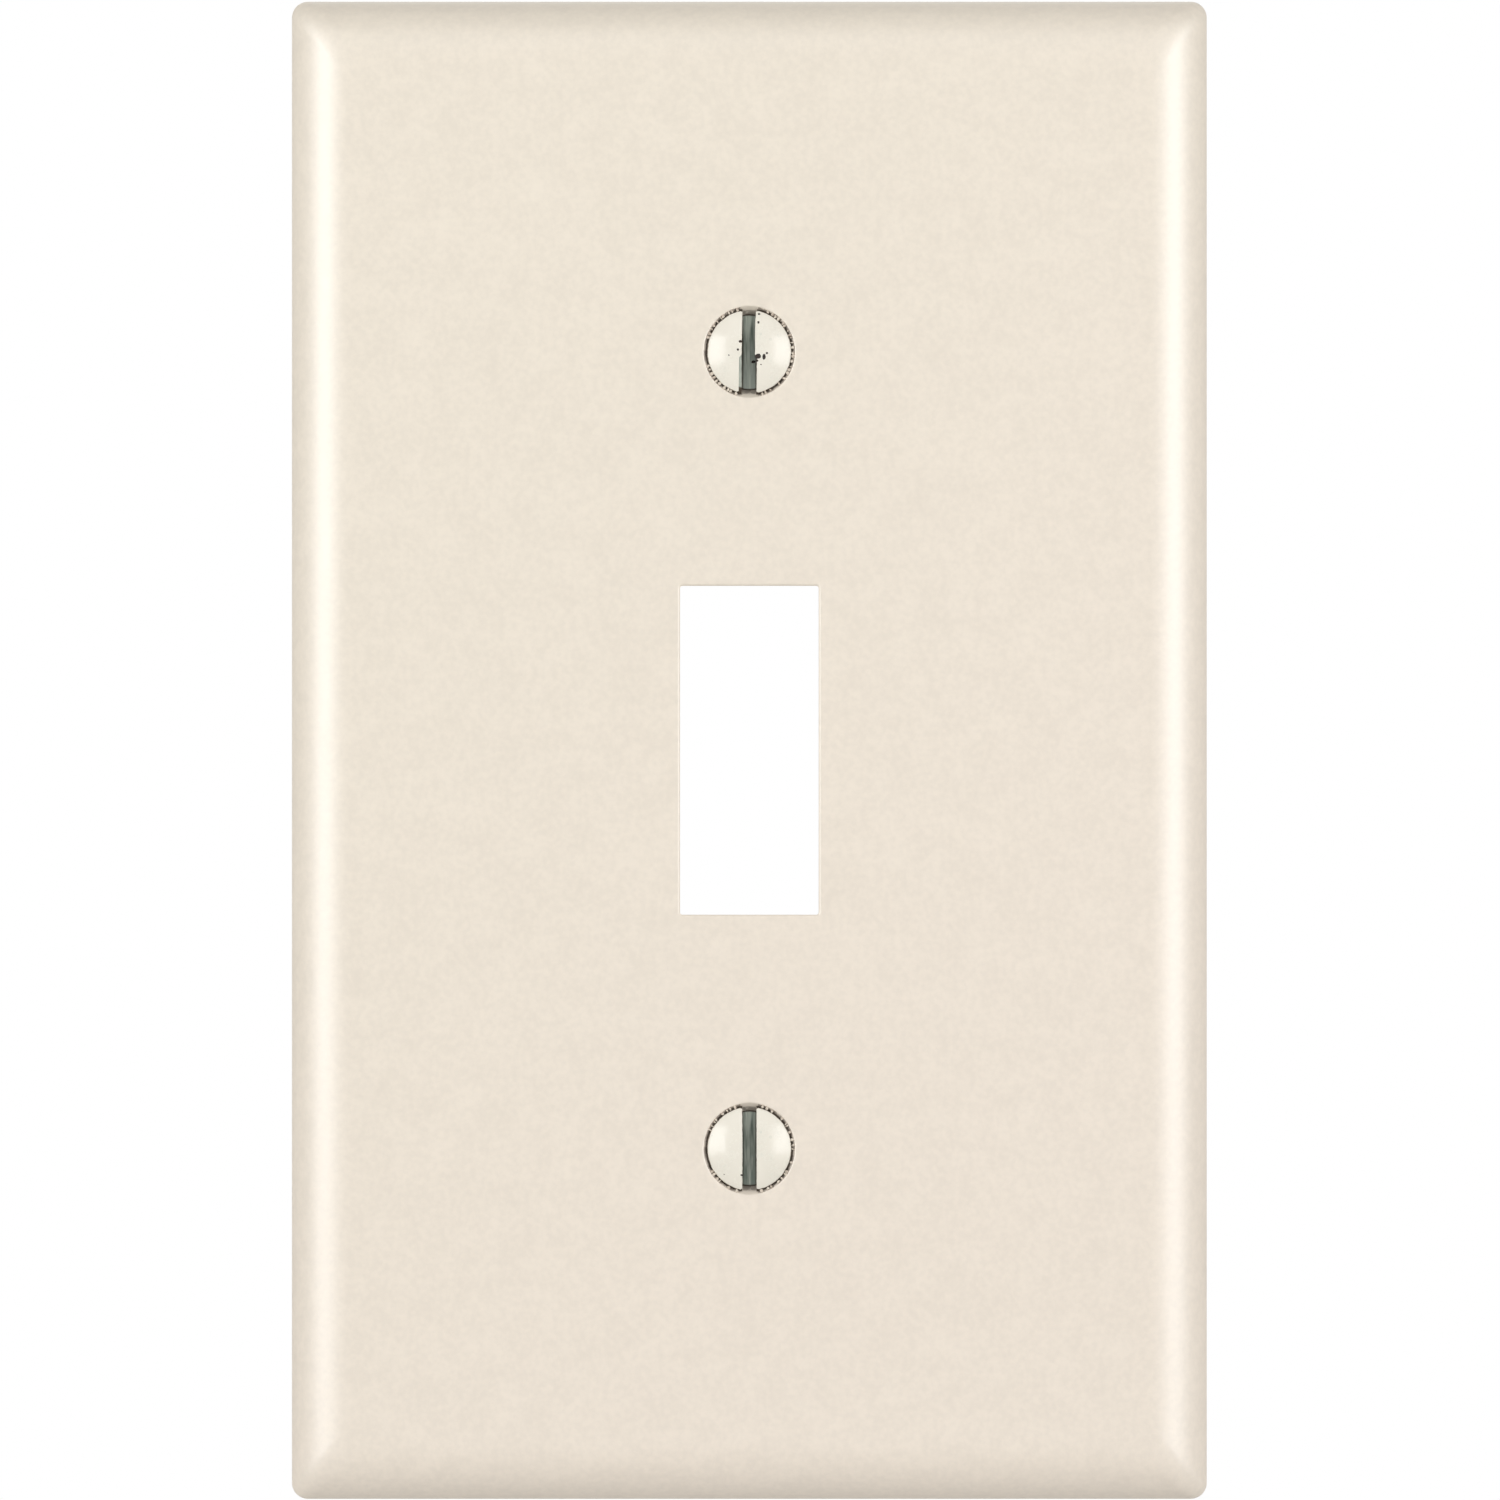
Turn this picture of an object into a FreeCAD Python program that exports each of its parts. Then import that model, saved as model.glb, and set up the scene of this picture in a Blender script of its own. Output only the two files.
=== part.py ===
import FreeCAD, Part

import math
import os

import Sketcher
from FreeCAD import Placement, Rotation, Vector

# A one-gang wall plate for a toggle switch, with its two slotted oval-head screws.
#
# Row frame, in millimetres: +Z is up the wall, the plate faces -Y, and +Y goes into the wall.
# The origin is the middle of the plate on the wall's surface, so the rim's back face lies on Y = 0.

# The driving dimensions. Each one's name is an alias on the spreadsheet "Sizes".
DIMENSIONS = {
    # The moulded plate.
    "plate_width": 69.85,
    "plate_height": 114.3,
    "plate_depth": 5.6,
    "corner_radius": 1.2,
    "edge_radius": 4.7,
    # The hollow behind the face.
    "face_thickness": 2.1,
    "rim_thickness": 2.1,
    "hollow_corner_radius": 1.8,
    "hollow_floor_radius": 1.4,
    # The toggle's opening, which widens towards the back, and the collar around it.
    "opening_width": 10.5,
    "opening_height": 24.9,
    "opening_corner_radius": 0.3,
    "opening_draft": 1.5,
    "collar_thickness": 1.5,
    "lip_radius": 0.2,
    # Ribs and bosses stop short of the wall, to clear the switch's strap.
    "strap_clearance": 1.6,
    "rib_thickness": 1.3,
    "spine_offset": 13.0,
    "cross_rib_offset": 42.5,
    "boss_diameter": 9.6,
    # Round marks that the mould's ejector pins leave.
    "pin_mark_diameter": 4.8,
    "pin_mark_depth": 0.12,
    "pin_mark_column": 24.0,
    "pin_mark_row": 34.0,
    # The two screw holes.
    "screw_spacing": 60.325,
    "hole_diameter": 4.0,
    "sink_diameter": 7.05,
    "sink_angle": 82.0,
    # A number 6 screw with 32 threads to the inch, half an inch long below its head's edge.
    "head_diameter": 6.55,
    "head_edge_band": 0.15,
    "crown_height": 1.0,
    "slot_width": 1.1,
    "slot_depth": 1.6,
    "seat_gap": 0.03,
    "neck_length": 1.0,
    "screw_length": 12.7,
    "thread_diameter": 3.505,
    "thread_pitch": 0.79375,
    "root_diameter": 2.6,
    "tip_chamfer": 0.35,
}

SLOT_LEAN = {"upper_screw": -0.6, "lower_screw": 0.0}  # degrees from upright, clockwise from the front
FLANK_ANGLE = 30.0  # degrees, half of a unified thread's 60
PAST_PLATE = 1.0  # how far a cutting outline stands past what it cuts
PAST_CREST = 0.07  # the same for the thread's groove

doc = FreeCAD.newDocument("toggle_wall_plate")
sheet = doc.addObject("Spreadsheet::Sheet", "Sizes")
for row, (alias, number) in enumerate(DIMENSIONS.items(), start=1):
    sheet.set(f"A{row}", alias)
    sheet.set(f"B{row}", str(number))
    sheet.setAlias(f"B{row}", alias)
doc.recompute()


class Size:
    """A length or angle with the expression that gives it, so that sums keep both in step."""

    def __init__(self, rule, value=None):
        self.rule = rule
        self.value = float(rule) if value is None else value

    def _join(self, sign, other, value):
        return Size(f"({self.rule} {sign} {as_size(other).rule})", value)

    def __add__(self, other):
        return self._join("+", other, self.value + as_size(other).value)

    def __sub__(self, other):
        return self._join("-", other, self.value - as_size(other).value)

    def __mul__(self, other):
        return self._join("*", other, self.value * as_size(other).value)

    def __truediv__(self, other):
        return self._join("/", other, self.value / as_size(other).value)

    def __neg__(self):
        return Size(f"(-{self.rule})", -self.value)


def as_size(value):
    """A Size from a Size or a plain number."""
    return value if isinstance(value, Size) else Size(str(value))


def tangent(angle):
    """The tangent of an angle in degrees."""
    return Size(f"tan({angle.rule} * 1deg)", math.tan(math.radians(angle.value)))


class Sheet:
    """Every alias on the spreadsheet, as a Size."""

    def __getattr__(self, alias):
        return Size(f"Sizes.{alias}", float(getattr(sheet, alias)))


dims = Sheet()
ZERO = Size("0")


# ---------------------------------------------------------------- sketches

ORIGIN = (-1, 1)
START, END, CENTRE = 1, 2, 3


def origin_feature(body, role):
    """One of a body's own origin planes or axes, by its role."""
    return next(f for f in body.Origin.OriginFeatures if f.Role == role)


def new_sketch(body, name, plane, offset=None):
    """A sketch on one of the body's own origin planes, moved along the plane's normal."""
    sketch = body.newObject("Sketcher::SketchObject", name)
    sketch.AttachmentSupport = [(origin_feature(body, plane), "")]
    sketch.MapMode = "FlatFace"
    if offset:
        sketch.setExpression("AttachmentOffset.Base.z", offset.rule)
    doc.recompute()
    return sketch


def measure(sketch, kind, name, amount, *where):
    """A named dimension of a sketch that follows a Size."""
    sketch.addConstraint(Sketcher.Constraint(kind, *where, amount.value))
    sketch.renameConstraint(sketch.ConstraintCount - 1, name)
    sketch.setExpression(f"Constraints.{name}", amount.rule)


def pin(sketch, name, geometry, end, across, up):
    """Holds one point at two Sizes from the sketch's origin."""
    measure(sketch, "DistanceX", f"{name}_x", across, *ORIGIN, geometry, end)
    measure(sketch, "DistanceY", f"{name}_y", up, *ORIGIN, geometry, end)


def point(across, up):
    """A point of a sketch from two Sizes."""
    return Vector(across.value, up.value, 0)


def add_outline(sketch, corners, bulge=None):
    """A closed outline through named corners, given as name: (across, up).

    Every corner is pinned. The last side, back to the first corner, is an arc when bulge gives a
    Size for its radius and the point it passes through.
    """
    names = list(corners)
    places = [point(*corners[name]) for name in names]
    sides = []
    for here, there in zip(places, places[1:]):
        sides.append(sketch.addGeometry(Part.LineSegment(here, there)))
    for side, following in zip(sides, sides[1:]):
        sketch.addConstraint(Sketcher.Constraint("Coincident", side, END, following, START))
    if bulge:
        radius, through = bulge
        closing = sketch.addGeometry(Part.Arc(places[-1], Vector(*through, 0), places[0]))
    else:
        closing = sketch.addGeometry(Part.LineSegment(places[-1], places[0]))
    starts_last = (sketch.getPoint(closing, START) - places[-1]).Length < 1e-6
    first_end, last_end = (END, START) if starts_last else (START, END)
    sketch.addConstraint(Sketcher.Constraint("Coincident", sides[-1], END, closing, last_end))
    sketch.addConstraint(Sketcher.Constraint("Coincident", sides[0], START, closing, first_end))
    for name, side in zip(names, sides):
        pin(sketch, name, side, START, *corners[name])
    pin(sketch, names[-1], sides[-1], END, *corners[names[-1]])
    if bulge:
        measure(sketch, "Radius", "arc_radius", radius, closing)


def add_rectangle(sketch, name, low, width, height):
    """A rectangle from its low corner, its width and its height."""
    across, up = low
    corners = {
        f"{name}_a": (across, up),
        f"{name}_b": (across + width, up),
        f"{name}_c": (across + width, up + height),
        f"{name}_d": (across, up + height),
    }
    add_outline(sketch, corners)


def add_centred_rectangle(sketch, name, width, height):
    """A rectangle about the sketch's origin."""
    add_rectangle(sketch, name, (-(width / 2), -(height / 2)), width, height)


def add_rounded_rectangle(sketch, width, height, radius):
    """A rectangle about the sketch's origin, with round corners."""
    across, up = width.value / 2 - radius.value, height.value / 2 - radius.value
    centres = [(across, up), (-across, up), (-across, -up), (across, -up)]
    arcs = []
    for quarter, (x, y) in enumerate(centres):
        circle = Part.Circle(Vector(x, y, 0), Vector(0, 0, 1), radius.value)
        begin = quarter * math.pi / 2
        arcs.append(sketch.addGeometry(Part.ArcOfCircle(circle, begin, begin + math.pi / 2)))
    sides = []
    for arc, following in zip(arcs, arcs[1:] + arcs[:1]):
        ends = (sketch.getPoint(arc, END), sketch.getPoint(following, START))
        side = sketch.addGeometry(Part.LineSegment(*ends))
        sketch.addConstraint(Sketcher.Constraint("Tangent", arc, END, side, START))
        sketch.addConstraint(Sketcher.Constraint("Tangent", side, END, following, START))
        sides.append(side)
    top, left, bottom, right = sides
    for kind, level_sides in (("Horizontal", (top, bottom)), ("Vertical", (left, right))):
        for side in level_sides:
            sketch.addConstraint(Sketcher.Constraint(kind, side))
    for arc in arcs[1:]:
        sketch.addConstraint(Sketcher.Constraint("Equal", arcs[0], arc))
    opposite = (arcs[0], CENTRE, arcs[2], CENTRE)
    sketch.addConstraint(Sketcher.Constraint("Symmetric", *opposite, *ORIGIN))
    measure(sketch, "DistanceX", "width", width, left, START, right, START)
    measure(sketch, "DistanceY", "height", height, bottom, START, top, START)
    measure(sketch, "Radius", "corner", radius, arcs[0])


def add_circle(sketch, name, diameter, across, up):
    """A circle from its diameter and its centre."""
    circle = Part.Circle(point(across, up), Vector(0, 0, 1), diameter.value / 2)
    geometry = sketch.addGeometry(circle)
    measure(sketch, "Diameter", f"{name}_diameter", diameter, geometry)
    pin(sketch, name, geometry, CENTRE, across, up)


# ---------------------------------------------------------------- features


def pad(body, name, sketch, length, reverse=False):
    """A pad of a sketch. On the plate it grows towards the front, or towards the wall reversed."""
    feature = body.newObject("PartDesign::Pad", name)
    feature.Profile = sketch
    feature.Reversed = reverse
    feature.setExpression("Length", length.rule)
    doc.recompute()
    return feature


def pocket(body, name, sketch, length=None, reverse=False):
    """A pocket of a given depth, or through everything on both sides of its sketch."""
    feature = body.newObject("PartDesign::Pocket", name)
    feature.Profile = sketch
    feature.Reversed = reverse
    if length:
        feature.setExpression("Length", length.rule)
    else:
        feature.Type = "ThroughAll"
        feature.Midplane = True
    doc.recompute()
    return feature


def mirror(body, name, original, plane):
    """The same feature again on the other side of one of the body's own planes."""
    feature = body.newObject("PartDesign::Mirrored", name)
    feature.Originals = [original]
    feature.MirrorPlane = (origin_feature(body, plane), [""])
    body.Tip = feature
    doc.recompute()
    return feature


def fillet(body, name, radius, wanted):
    """Rounds the edges of the body's last feature that pass a test."""
    base = body.Tip
    edges = [f"Edge{n}" for n, edge in enumerate(base.Shape.Edges, start=1) if wanted(edge.BoundBox)]
    if not edges:
        raise RuntimeError(f"{name} found no edge to round")
    feature = body.newObject("PartDesign::Fillet", name)
    feature.Base = (base, edges)
    feature.setExpression("Radius", radius.rule)
    doc.recompute()
    return feature


def in_layer(box, depth):
    """True if an edge's box is flat against the layer at this Y."""
    return max(abs(box.YMin - depth.value), abs(box.YMax - depth.value)) < 1e-4


# ---------------------------------------------------------------- the moulded plate

FRONT = -dims.plate_depth
HOLLOW_DEPTH = dims.plate_depth - dims.face_thickness
RIB_HEIGHT = HOLLOW_DEPTH - dims.strap_clearance
INSIDE_WIDTH = dims.plate_width - dims.rim_thickness * 2
INSIDE_HEIGHT = dims.plate_height - dims.rim_thickness * 2


def round_edge(body, name, plane, half, mirror_plane, front_is_across):
    """Rounds one front edge and its opposite, by a cut that runs right past the other pair.

    The cuts of the two pairs cross at each corner, where their curves meet in a mitre.
    """
    radius = dims.edge_radius
    inner, outer = half - radius, half + PAST_PLATE
    shoulder, beyond = FRONT + radius, FRONT - PAST_PLATE
    corners = {
        "face": (inner, FRONT),
        "face_waste": (inner, beyond),
        "corner_waste": (outer, beyond),
        "side_waste": (outer, shoulder),
        "side": (half, shoulder),
    }
    reach = radius.value * math.sqrt(0.5)
    through = (inner.value + reach, shoulder.value - reach)
    if front_is_across:
        corners = {corner: place[::-1] for corner, place in corners.items()}
        through = through[::-1]
    sketch = new_sketch(body, f"{name}_outline", plane)
    add_outline(sketch, corners, bulge=(radius, through))
    cut = pocket(body, name, sketch)
    mirror(body, f"{name}_opposite", cut, mirror_plane)


def add_stiffeners(body):
    """The collar, spines, cross ribs and screw bosses that stand on the hollow's floor."""
    collar = new_sketch(body, "collar_outline", "XZ_Plane", HOLLOW_DEPTH)
    around = dims.collar_thickness * 2
    size = (dims.opening_width + around, dims.opening_height + around)
    add_centred_rectangle(collar, "collar", *size)
    pad(body, "collar", collar, RIB_HEIGHT, reverse=True)

    half_rib = dims.rib_thickness / 2
    spine = new_sketch(body, "spine_outline", "XZ_Plane", HOLLOW_DEPTH)
    low = (dims.spine_offset - half_rib, -(INSIDE_HEIGHT / 2))
    add_rectangle(spine, "spine", low, dims.rib_thickness, INSIDE_HEIGHT)
    right = pad(body, "right_spine", spine, RIB_HEIGHT, reverse=True)
    mirror(body, "left_spine", right, "YZ_Plane")

    rib = new_sketch(body, "cross_rib_outline", "XZ_Plane", HOLLOW_DEPTH)
    low = (-(INSIDE_WIDTH / 2), dims.cross_rib_offset - half_rib)
    add_rectangle(rib, "rib", low, INSIDE_WIDTH, dims.rib_thickness)
    upper = pad(body, "upper_cross_rib", rib, RIB_HEIGHT, reverse=True)
    mirror(body, "lower_cross_rib", upper, "XY_Plane")

    boss = new_sketch(body, "boss_outline", "XZ_Plane", HOLLOW_DEPTH)
    add_circle(boss, "boss", dims.boss_diameter, ZERO, dims.screw_spacing / 2)
    upper = pad(body, "upper_boss", boss, RIB_HEIGHT, reverse=True)
    mirror(body, "lower_boss", upper, "XY_Plane")


def cut_toggle_opening(body):
    """The toggle's opening, with drafted walls and a softened front lip."""
    outline = new_sketch(body, "toggle_opening_outline", "XZ_Plane", dims.plate_depth)
    size = (dims.opening_width, dims.opening_height)
    add_rounded_rectangle(outline, *size, dims.opening_corner_radius)
    opening = pocket(body, "toggle_opening", outline, dims.plate_depth)
    opening.setExpression("TaperAngle", dims.opening_draft.rule)
    doc.recompute()

    def on_lip(box):
        near = max(box.XMax, -box.XMin) < dims.opening_width.value
        return near and in_layer(box, FRONT) and box.ZMax < dims.opening_height.value

    fillet(body, "opening_lip", dims.lip_radius, on_lip)


def cut_screw_holes(body):
    """The two countersunk holes through the bosses."""
    centres = new_sketch(body, "screw_hole_centres", "XZ_Plane", dims.plate_depth)
    for name, up in (("upper", dims.screw_spacing / 2), ("lower", -(dims.screw_spacing / 2))):
        add_circle(centres, name, dims.hole_diameter, ZERO, up)
    doc.recompute()
    hole = body.newObject("PartDesign::Hole", "screw_holes")
    hole.Profile = centres
    doc.recompute()
    hole.DepthType = "ThroughAll"
    hole.HoleCutType = "Countersink"
    hole.HoleCutCustomValues = True
    hole.setExpression("Diameter", dims.hole_diameter.rule)
    hole.setExpression("HoleCutDiameter", dims.sink_diameter.rule)
    hole.setExpression("HoleCutCountersinkAngle", dims.sink_angle.rule)
    doc.recompute()


def press_pin_marks(body):
    """The ejector pins' shallow round marks on the hollow's floor."""
    marks = new_sketch(body, "pin_mark_centres", "XZ_Plane", HOLLOW_DEPTH)
    for column in (-1, 1):
        for row in (-1, 0, 1):
            across, up = dims.pin_mark_column * column, dims.pin_mark_row * row
            name = f"mark_{column + 1}_{row + 1}"
            add_circle(marks, name, dims.pin_mark_diameter, across, up)
    doc.recompute()
    pocket(body, "pin_marks", marks, dims.pin_mark_depth, reverse=True)


def make_plate():
    """The moulded plate: a rounded face, a hollow back, ribs, bosses and holes."""
    body = doc.addObject("PartDesign::Body", "wall_plate")
    body.Label = "wall_plate"

    outline = new_sketch(body, "plate_outline", "XZ_Plane")
    add_rounded_rectangle(outline, dims.plate_width, dims.plate_height, dims.corner_radius)
    pad(body, "plate_block", outline, dims.plate_depth)
    round_edge(body, "side_edge", "XY_Plane", dims.plate_width / 2, "YZ_Plane", False)
    round_edge(body, "end_edge", "YZ_Plane", dims.plate_height / 2, "XY_Plane", True)

    hollow = new_sketch(body, "hollow_outline", "XZ_Plane")
    add_rounded_rectangle(hollow, INSIDE_WIDTH, INSIDE_HEIGHT, dims.hollow_corner_radius)
    pocket(body, "hollow", hollow, HOLLOW_DEPTH, reverse=True)
    floor = -HOLLOW_DEPTH
    fillet(body, "hollow_floor_round", dims.hollow_floor_radius, lambda box: in_layer(box, floor))

    add_stiffeners(body)
    cut_toggle_opening(body)
    cut_screw_holes(body)
    press_pin_marks(body)
    return body


# ---------------------------------------------------------------- the screws

HALF_SINK = dims.sink_angle / 2
CONE_HEIGHT = (dims.head_diameter - dims.root_diameter) / 2 / tangent(HALF_SINK)
NECK_END = -(dims.head_edge_band + CONE_HEIGHT + dims.neck_length)


def edge_depth():
    """How deep the top of the head's edge sits behind the plate's front face.

    The head's cone stands off the countersink by the seat gap, measured square to the cone.
    """
    half_angle = math.radians(HALF_SINK.value)
    radial_gap = dims.seat_gap.value / math.cos(half_angle)
    room = (dims.sink_diameter.value - dims.head_diameter.value) / 2 - radial_gap
    return room / math.tan(half_angle) - dims.head_edge_band.value


def turn_blank(body, label):
    """The screw before its slot and thread are cut, turned about its own Z axis."""
    head, crown = dims.head_diameter / 2, dims.crown_height
    root, crest = dims.root_diameter / 2, dims.thread_diameter / 2
    head_low = -(dims.head_edge_band + CONE_HEIGHT)
    tip = -dims.screw_length
    corners = {
        "edge": (head, ZERO),
        "band": (head, -dims.head_edge_band),
        "neck": (root, head_low),
        "neck_end": (root, NECK_END),
        "crest": (crest, NECK_END - (crest - root)),
        "tip_edge": (crest, tip + dims.tip_chamfer),
        "tip": (crest - dims.tip_chamfer, tip),
        "tip_centre": (ZERO, tip),
        "crown": (ZERO, crown),
    }
    radius = (head * head + crown * crown) / (crown * 2)
    lean = math.asin(head.value / radius.value) / 2
    drop = radius.value * (1 - math.cos(lean))
    through = (radius.value * math.sin(lean), crown.value - drop)
    profile = new_sketch(body, f"{label}_profile", "XZ_Plane")
    add_outline(profile, corners, bulge=(radius, through))
    blank = body.newObject("PartDesign::Revolution", f"{label}_blank")
    blank.Profile = profile
    blank.ReferenceAxis = (profile, ["V_Axis"])
    blank.Angle = 360
    doc.recompute()


def cut_slot(body, label):
    """The driver's slot across the crown."""
    outline = new_sketch(body, f"{label}_slot_outline", "XZ_Plane")
    low = (-(dims.slot_width / 2), dims.crown_height - dims.slot_depth)
    add_rectangle(outline, "slot", low, dims.slot_width, dims.slot_depth + PAST_PLATE)
    pocket(body, f"{label}_slot", outline)


def cut_thread(body, label):
    """The thread's groove, a flat-bottomed vee that winds from the neck past the tip."""
    root, outside = dims.root_diameter / 2, dims.thread_diameter / 2 + PAST_CREST
    root_half = dims.thread_pitch / 16
    outside_half = root_half + (outside - root) * tangent(as_size(FLANK_ANGLE))
    middle = NECK_END + outside_half
    corners = {
        "root_low": (root, middle - root_half),
        "crest_low": (outside, middle - outside_half),
        "crest_high": (outside, middle + outside_half),
        "root_high": (root, middle + root_half),
    }
    groove = new_sketch(body, f"{label}_groove", "XZ_Plane")
    add_outline(groove, corners)
    doc.recompute()
    thread = body.newObject("PartDesign::SubtractiveHelix", f"{label}_thread")
    thread.Profile = groove
    thread.ReferenceAxis = (groove, ["V_Axis"])
    thread.Mode = "pitch-height-angle"
    thread.Reversed = True
    height = dims.screw_length + middle + dims.thread_pitch
    thread.setExpression("Pitch", dims.thread_pitch.rule)
    thread.setExpression("Height", height.rule)
    doc.recompute()


def make_screw(label, side):
    """One oval-head screw, made along its own Z axis with its head up, then laid in its hole."""
    body = doc.addObject("PartDesign::Body", label)
    body.Label = label
    turn_blank(body, label)
    cut_slot(body, label)
    cut_thread(body, label)
    seat = Vector(0, FRONT.value + edge_depth(), side * dims.screw_spacing.value / 2)
    head_to_front = Rotation(Vector(1, 0, 0), 90)
    lean = Rotation(Vector(0, 0, 1), -SLOT_LEAN[label])
    body.Placement = Placement(seat, head_to_front.multiply(lean))
    return body


# ---------------------------------------------------------------- build and write


def check(bodies):
    """Stops the script if any object failed, or if a body isn't one valid solid."""
    failed = [o.Name for o in doc.Objects if {"Invalid", "Error"} & set(o.State)]
    if failed:
        raise RuntimeError(f"objects failed: {failed}")
    for body in bodies:
        shape = body.Shape
        if shape.isNull() or not shape.isValid() or len(shape.Solids) != 1:
            raise RuntimeError(f"{body.Label} isn't one valid solid")
        print(f"{body.Label}: {shape.Volume:.2f} mm3, {len(shape.Faces)} faces, {shape.BoundBox}")


def main():
    """Builds every body, checks it and writes one STEP file for each."""
    bodies = [make_plate(), make_screw("upper_screw", 1), make_screw("lower_screw", -1)]
    doc.recompute()
    check(bodies)
    os.makedirs("parts", exist_ok=True)
    for body in bodies:
        body.Shape.exportStep(f"parts/{body.Label}.step")


main()
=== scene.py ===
"""A toggle switch's wall plate in light almond plastic, with its two painted slotted screws.

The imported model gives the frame: +Z up the wall, the plate facing -Y, its rim's back face on Y = 0.
Sizes are in millimetres and become metres only where a mesh, a light or the camera is made.
"""

import logging
import math
import random
from dataclasses import dataclass
from enum import Enum

import bmesh
import bpy
from mathutils import Matrix, Vector, noise
from mathutils.geometry import delaunay_2d_cdt


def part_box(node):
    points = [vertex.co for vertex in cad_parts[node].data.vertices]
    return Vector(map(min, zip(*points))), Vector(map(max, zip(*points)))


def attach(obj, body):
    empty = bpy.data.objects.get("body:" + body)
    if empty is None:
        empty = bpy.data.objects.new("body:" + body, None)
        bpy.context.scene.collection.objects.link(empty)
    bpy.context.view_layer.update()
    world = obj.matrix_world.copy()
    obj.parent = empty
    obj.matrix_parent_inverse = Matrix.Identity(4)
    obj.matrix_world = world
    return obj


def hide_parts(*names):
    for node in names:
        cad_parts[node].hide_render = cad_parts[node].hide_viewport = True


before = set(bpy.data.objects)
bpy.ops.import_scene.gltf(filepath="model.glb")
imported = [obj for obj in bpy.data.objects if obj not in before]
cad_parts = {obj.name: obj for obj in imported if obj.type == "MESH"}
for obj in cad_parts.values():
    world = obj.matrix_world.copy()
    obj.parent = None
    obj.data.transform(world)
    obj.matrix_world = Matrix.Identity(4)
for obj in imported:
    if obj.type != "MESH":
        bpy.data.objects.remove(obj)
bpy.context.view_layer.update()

logging.basicConfig(level=logging.INFO, format="%(message)s")
log = logging.getLogger("wall_plate")

MM = 0.001
MERGE = 2e-7  # metres, under which two corners are the same one
SAME_PLACE = 1e-5  # millimetres, the same for the corners of a filled outline

Plan = tuple[float, float]
Ring = list[Vector]


class Slot(Enum):
    """The record's material slots."""

    PLASTIC = "plate_plastic"
    PAINT = "screw_paint"
    STEEL = "screw_steel"


class Side(Enum):
    """Which of the two screws a piece belongs to."""

    UPPER = "upper_screw"
    LOWER = "lower_screw"


# ------------------------------------------------------------------ meshes from rings


def link(name: str, data: bpy.types.ID) -> bpy.types.Object:
    """Makes an object of a mesh, lamp or camera and puts it in the scene.

    Args:
        name: the object's name.
        data: the mesh, lamp or camera.

    Returns:
        The object.
    """
    obj = bpy.data.objects.new(name, data)
    bpy.context.scene.collection.objects.link(obj)
    return obj


def link_mesh(name: str, mesh: bmesh.types.BMesh) -> bpy.types.Object:
    """Makes an object of a working mesh, and frees that mesh.

    Args:
        name: the object's name.
        mesh: the working mesh.

    Returns:
        The object.
    """
    data = bpy.data.meshes.new(name)
    mesh.to_mesh(data)
    mesh.free()
    return link(name, data)


def bridge(mesh: bmesh.types.BMesh, rings: list[Ring]) -> None:
    """Joins each ring to the next with a strip of quads.

    Args:
        mesh: the mesh that takes the strips.
        rings: closed rings, all with the same number of corners in the same order.
    """
    rows = [[mesh.verts.new(p * MM) for p in ring] for ring in rings]
    for here, there in zip(rows, rows[1:]):
        for a in range(len(here)):
            b = (a + 1) % len(here)
            mesh.faces.new((here[a], here[b], there[b], there[a]))


def inside(place: Vector, ring: Ring) -> bool:
    """Tells whether a plan point lies inside a ring.

    Args:
        place: the point, as X and Z.
        ring: the ring's corners.

    Returns:
        True inside the ring.
    """
    odd = False
    for a, b in zip(ring, ring[1:] + ring[:1]):
        if (a.z > place.y) != (b.z > place.y):
            if place.x < (b.x - a.x) * (place.y - a.z) / (b.z - a.z) + a.x:
                odd = not odd
    return odd


def bake_modifiers(obj: bpy.types.Object) -> bpy.types.Object:
    """Turns an object's modifiers into plain mesh and removes them.

    Args:
        obj: the object.

    Returns:
        The same object with its evaluated mesh.
    """
    bpy.context.view_layer.update()
    graph = bpy.context.evaluated_depsgraph_get()
    old = obj.data
    new = bpy.data.meshes.new_from_object(
        obj.evaluated_get(graph), preserve_all_data_layers=True, depsgraph=graph
    )
    obj.modifiers.clear()
    obj.data = new
    new.name = obj.name
    bpy.data.meshes.remove(old)
    return obj


def smooth(obj: bpy.types.Object, sharp: float) -> bpy.types.Object:
    """Shades an object smooth, with large flat faces keeping their own normals beside narrow rounds.

    Args:
        obj: the object.
        sharp: the angle in degrees past which an edge stays sharp.

    Returns:
        The same object.
    """
    obj.data.shade_smooth()
    obj.data.set_sharp_from_angle(angle=math.radians(sharp))
    weigh = obj.modifiers.new("weigh", "WEIGHTED_NORMAL")
    weigh.keep_sharp = True
    return bake_modifiers(obj)


def arc(steps: int) -> list[tuple[float, float]]:
    """Cosine and sine at even steps of a quarter turn, both ends included."""
    quarter = math.pi / 2
    return [(math.cos(quarter * n / steps), math.sin(quarter * n / steps)) for n in range(steps + 1)]


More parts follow.
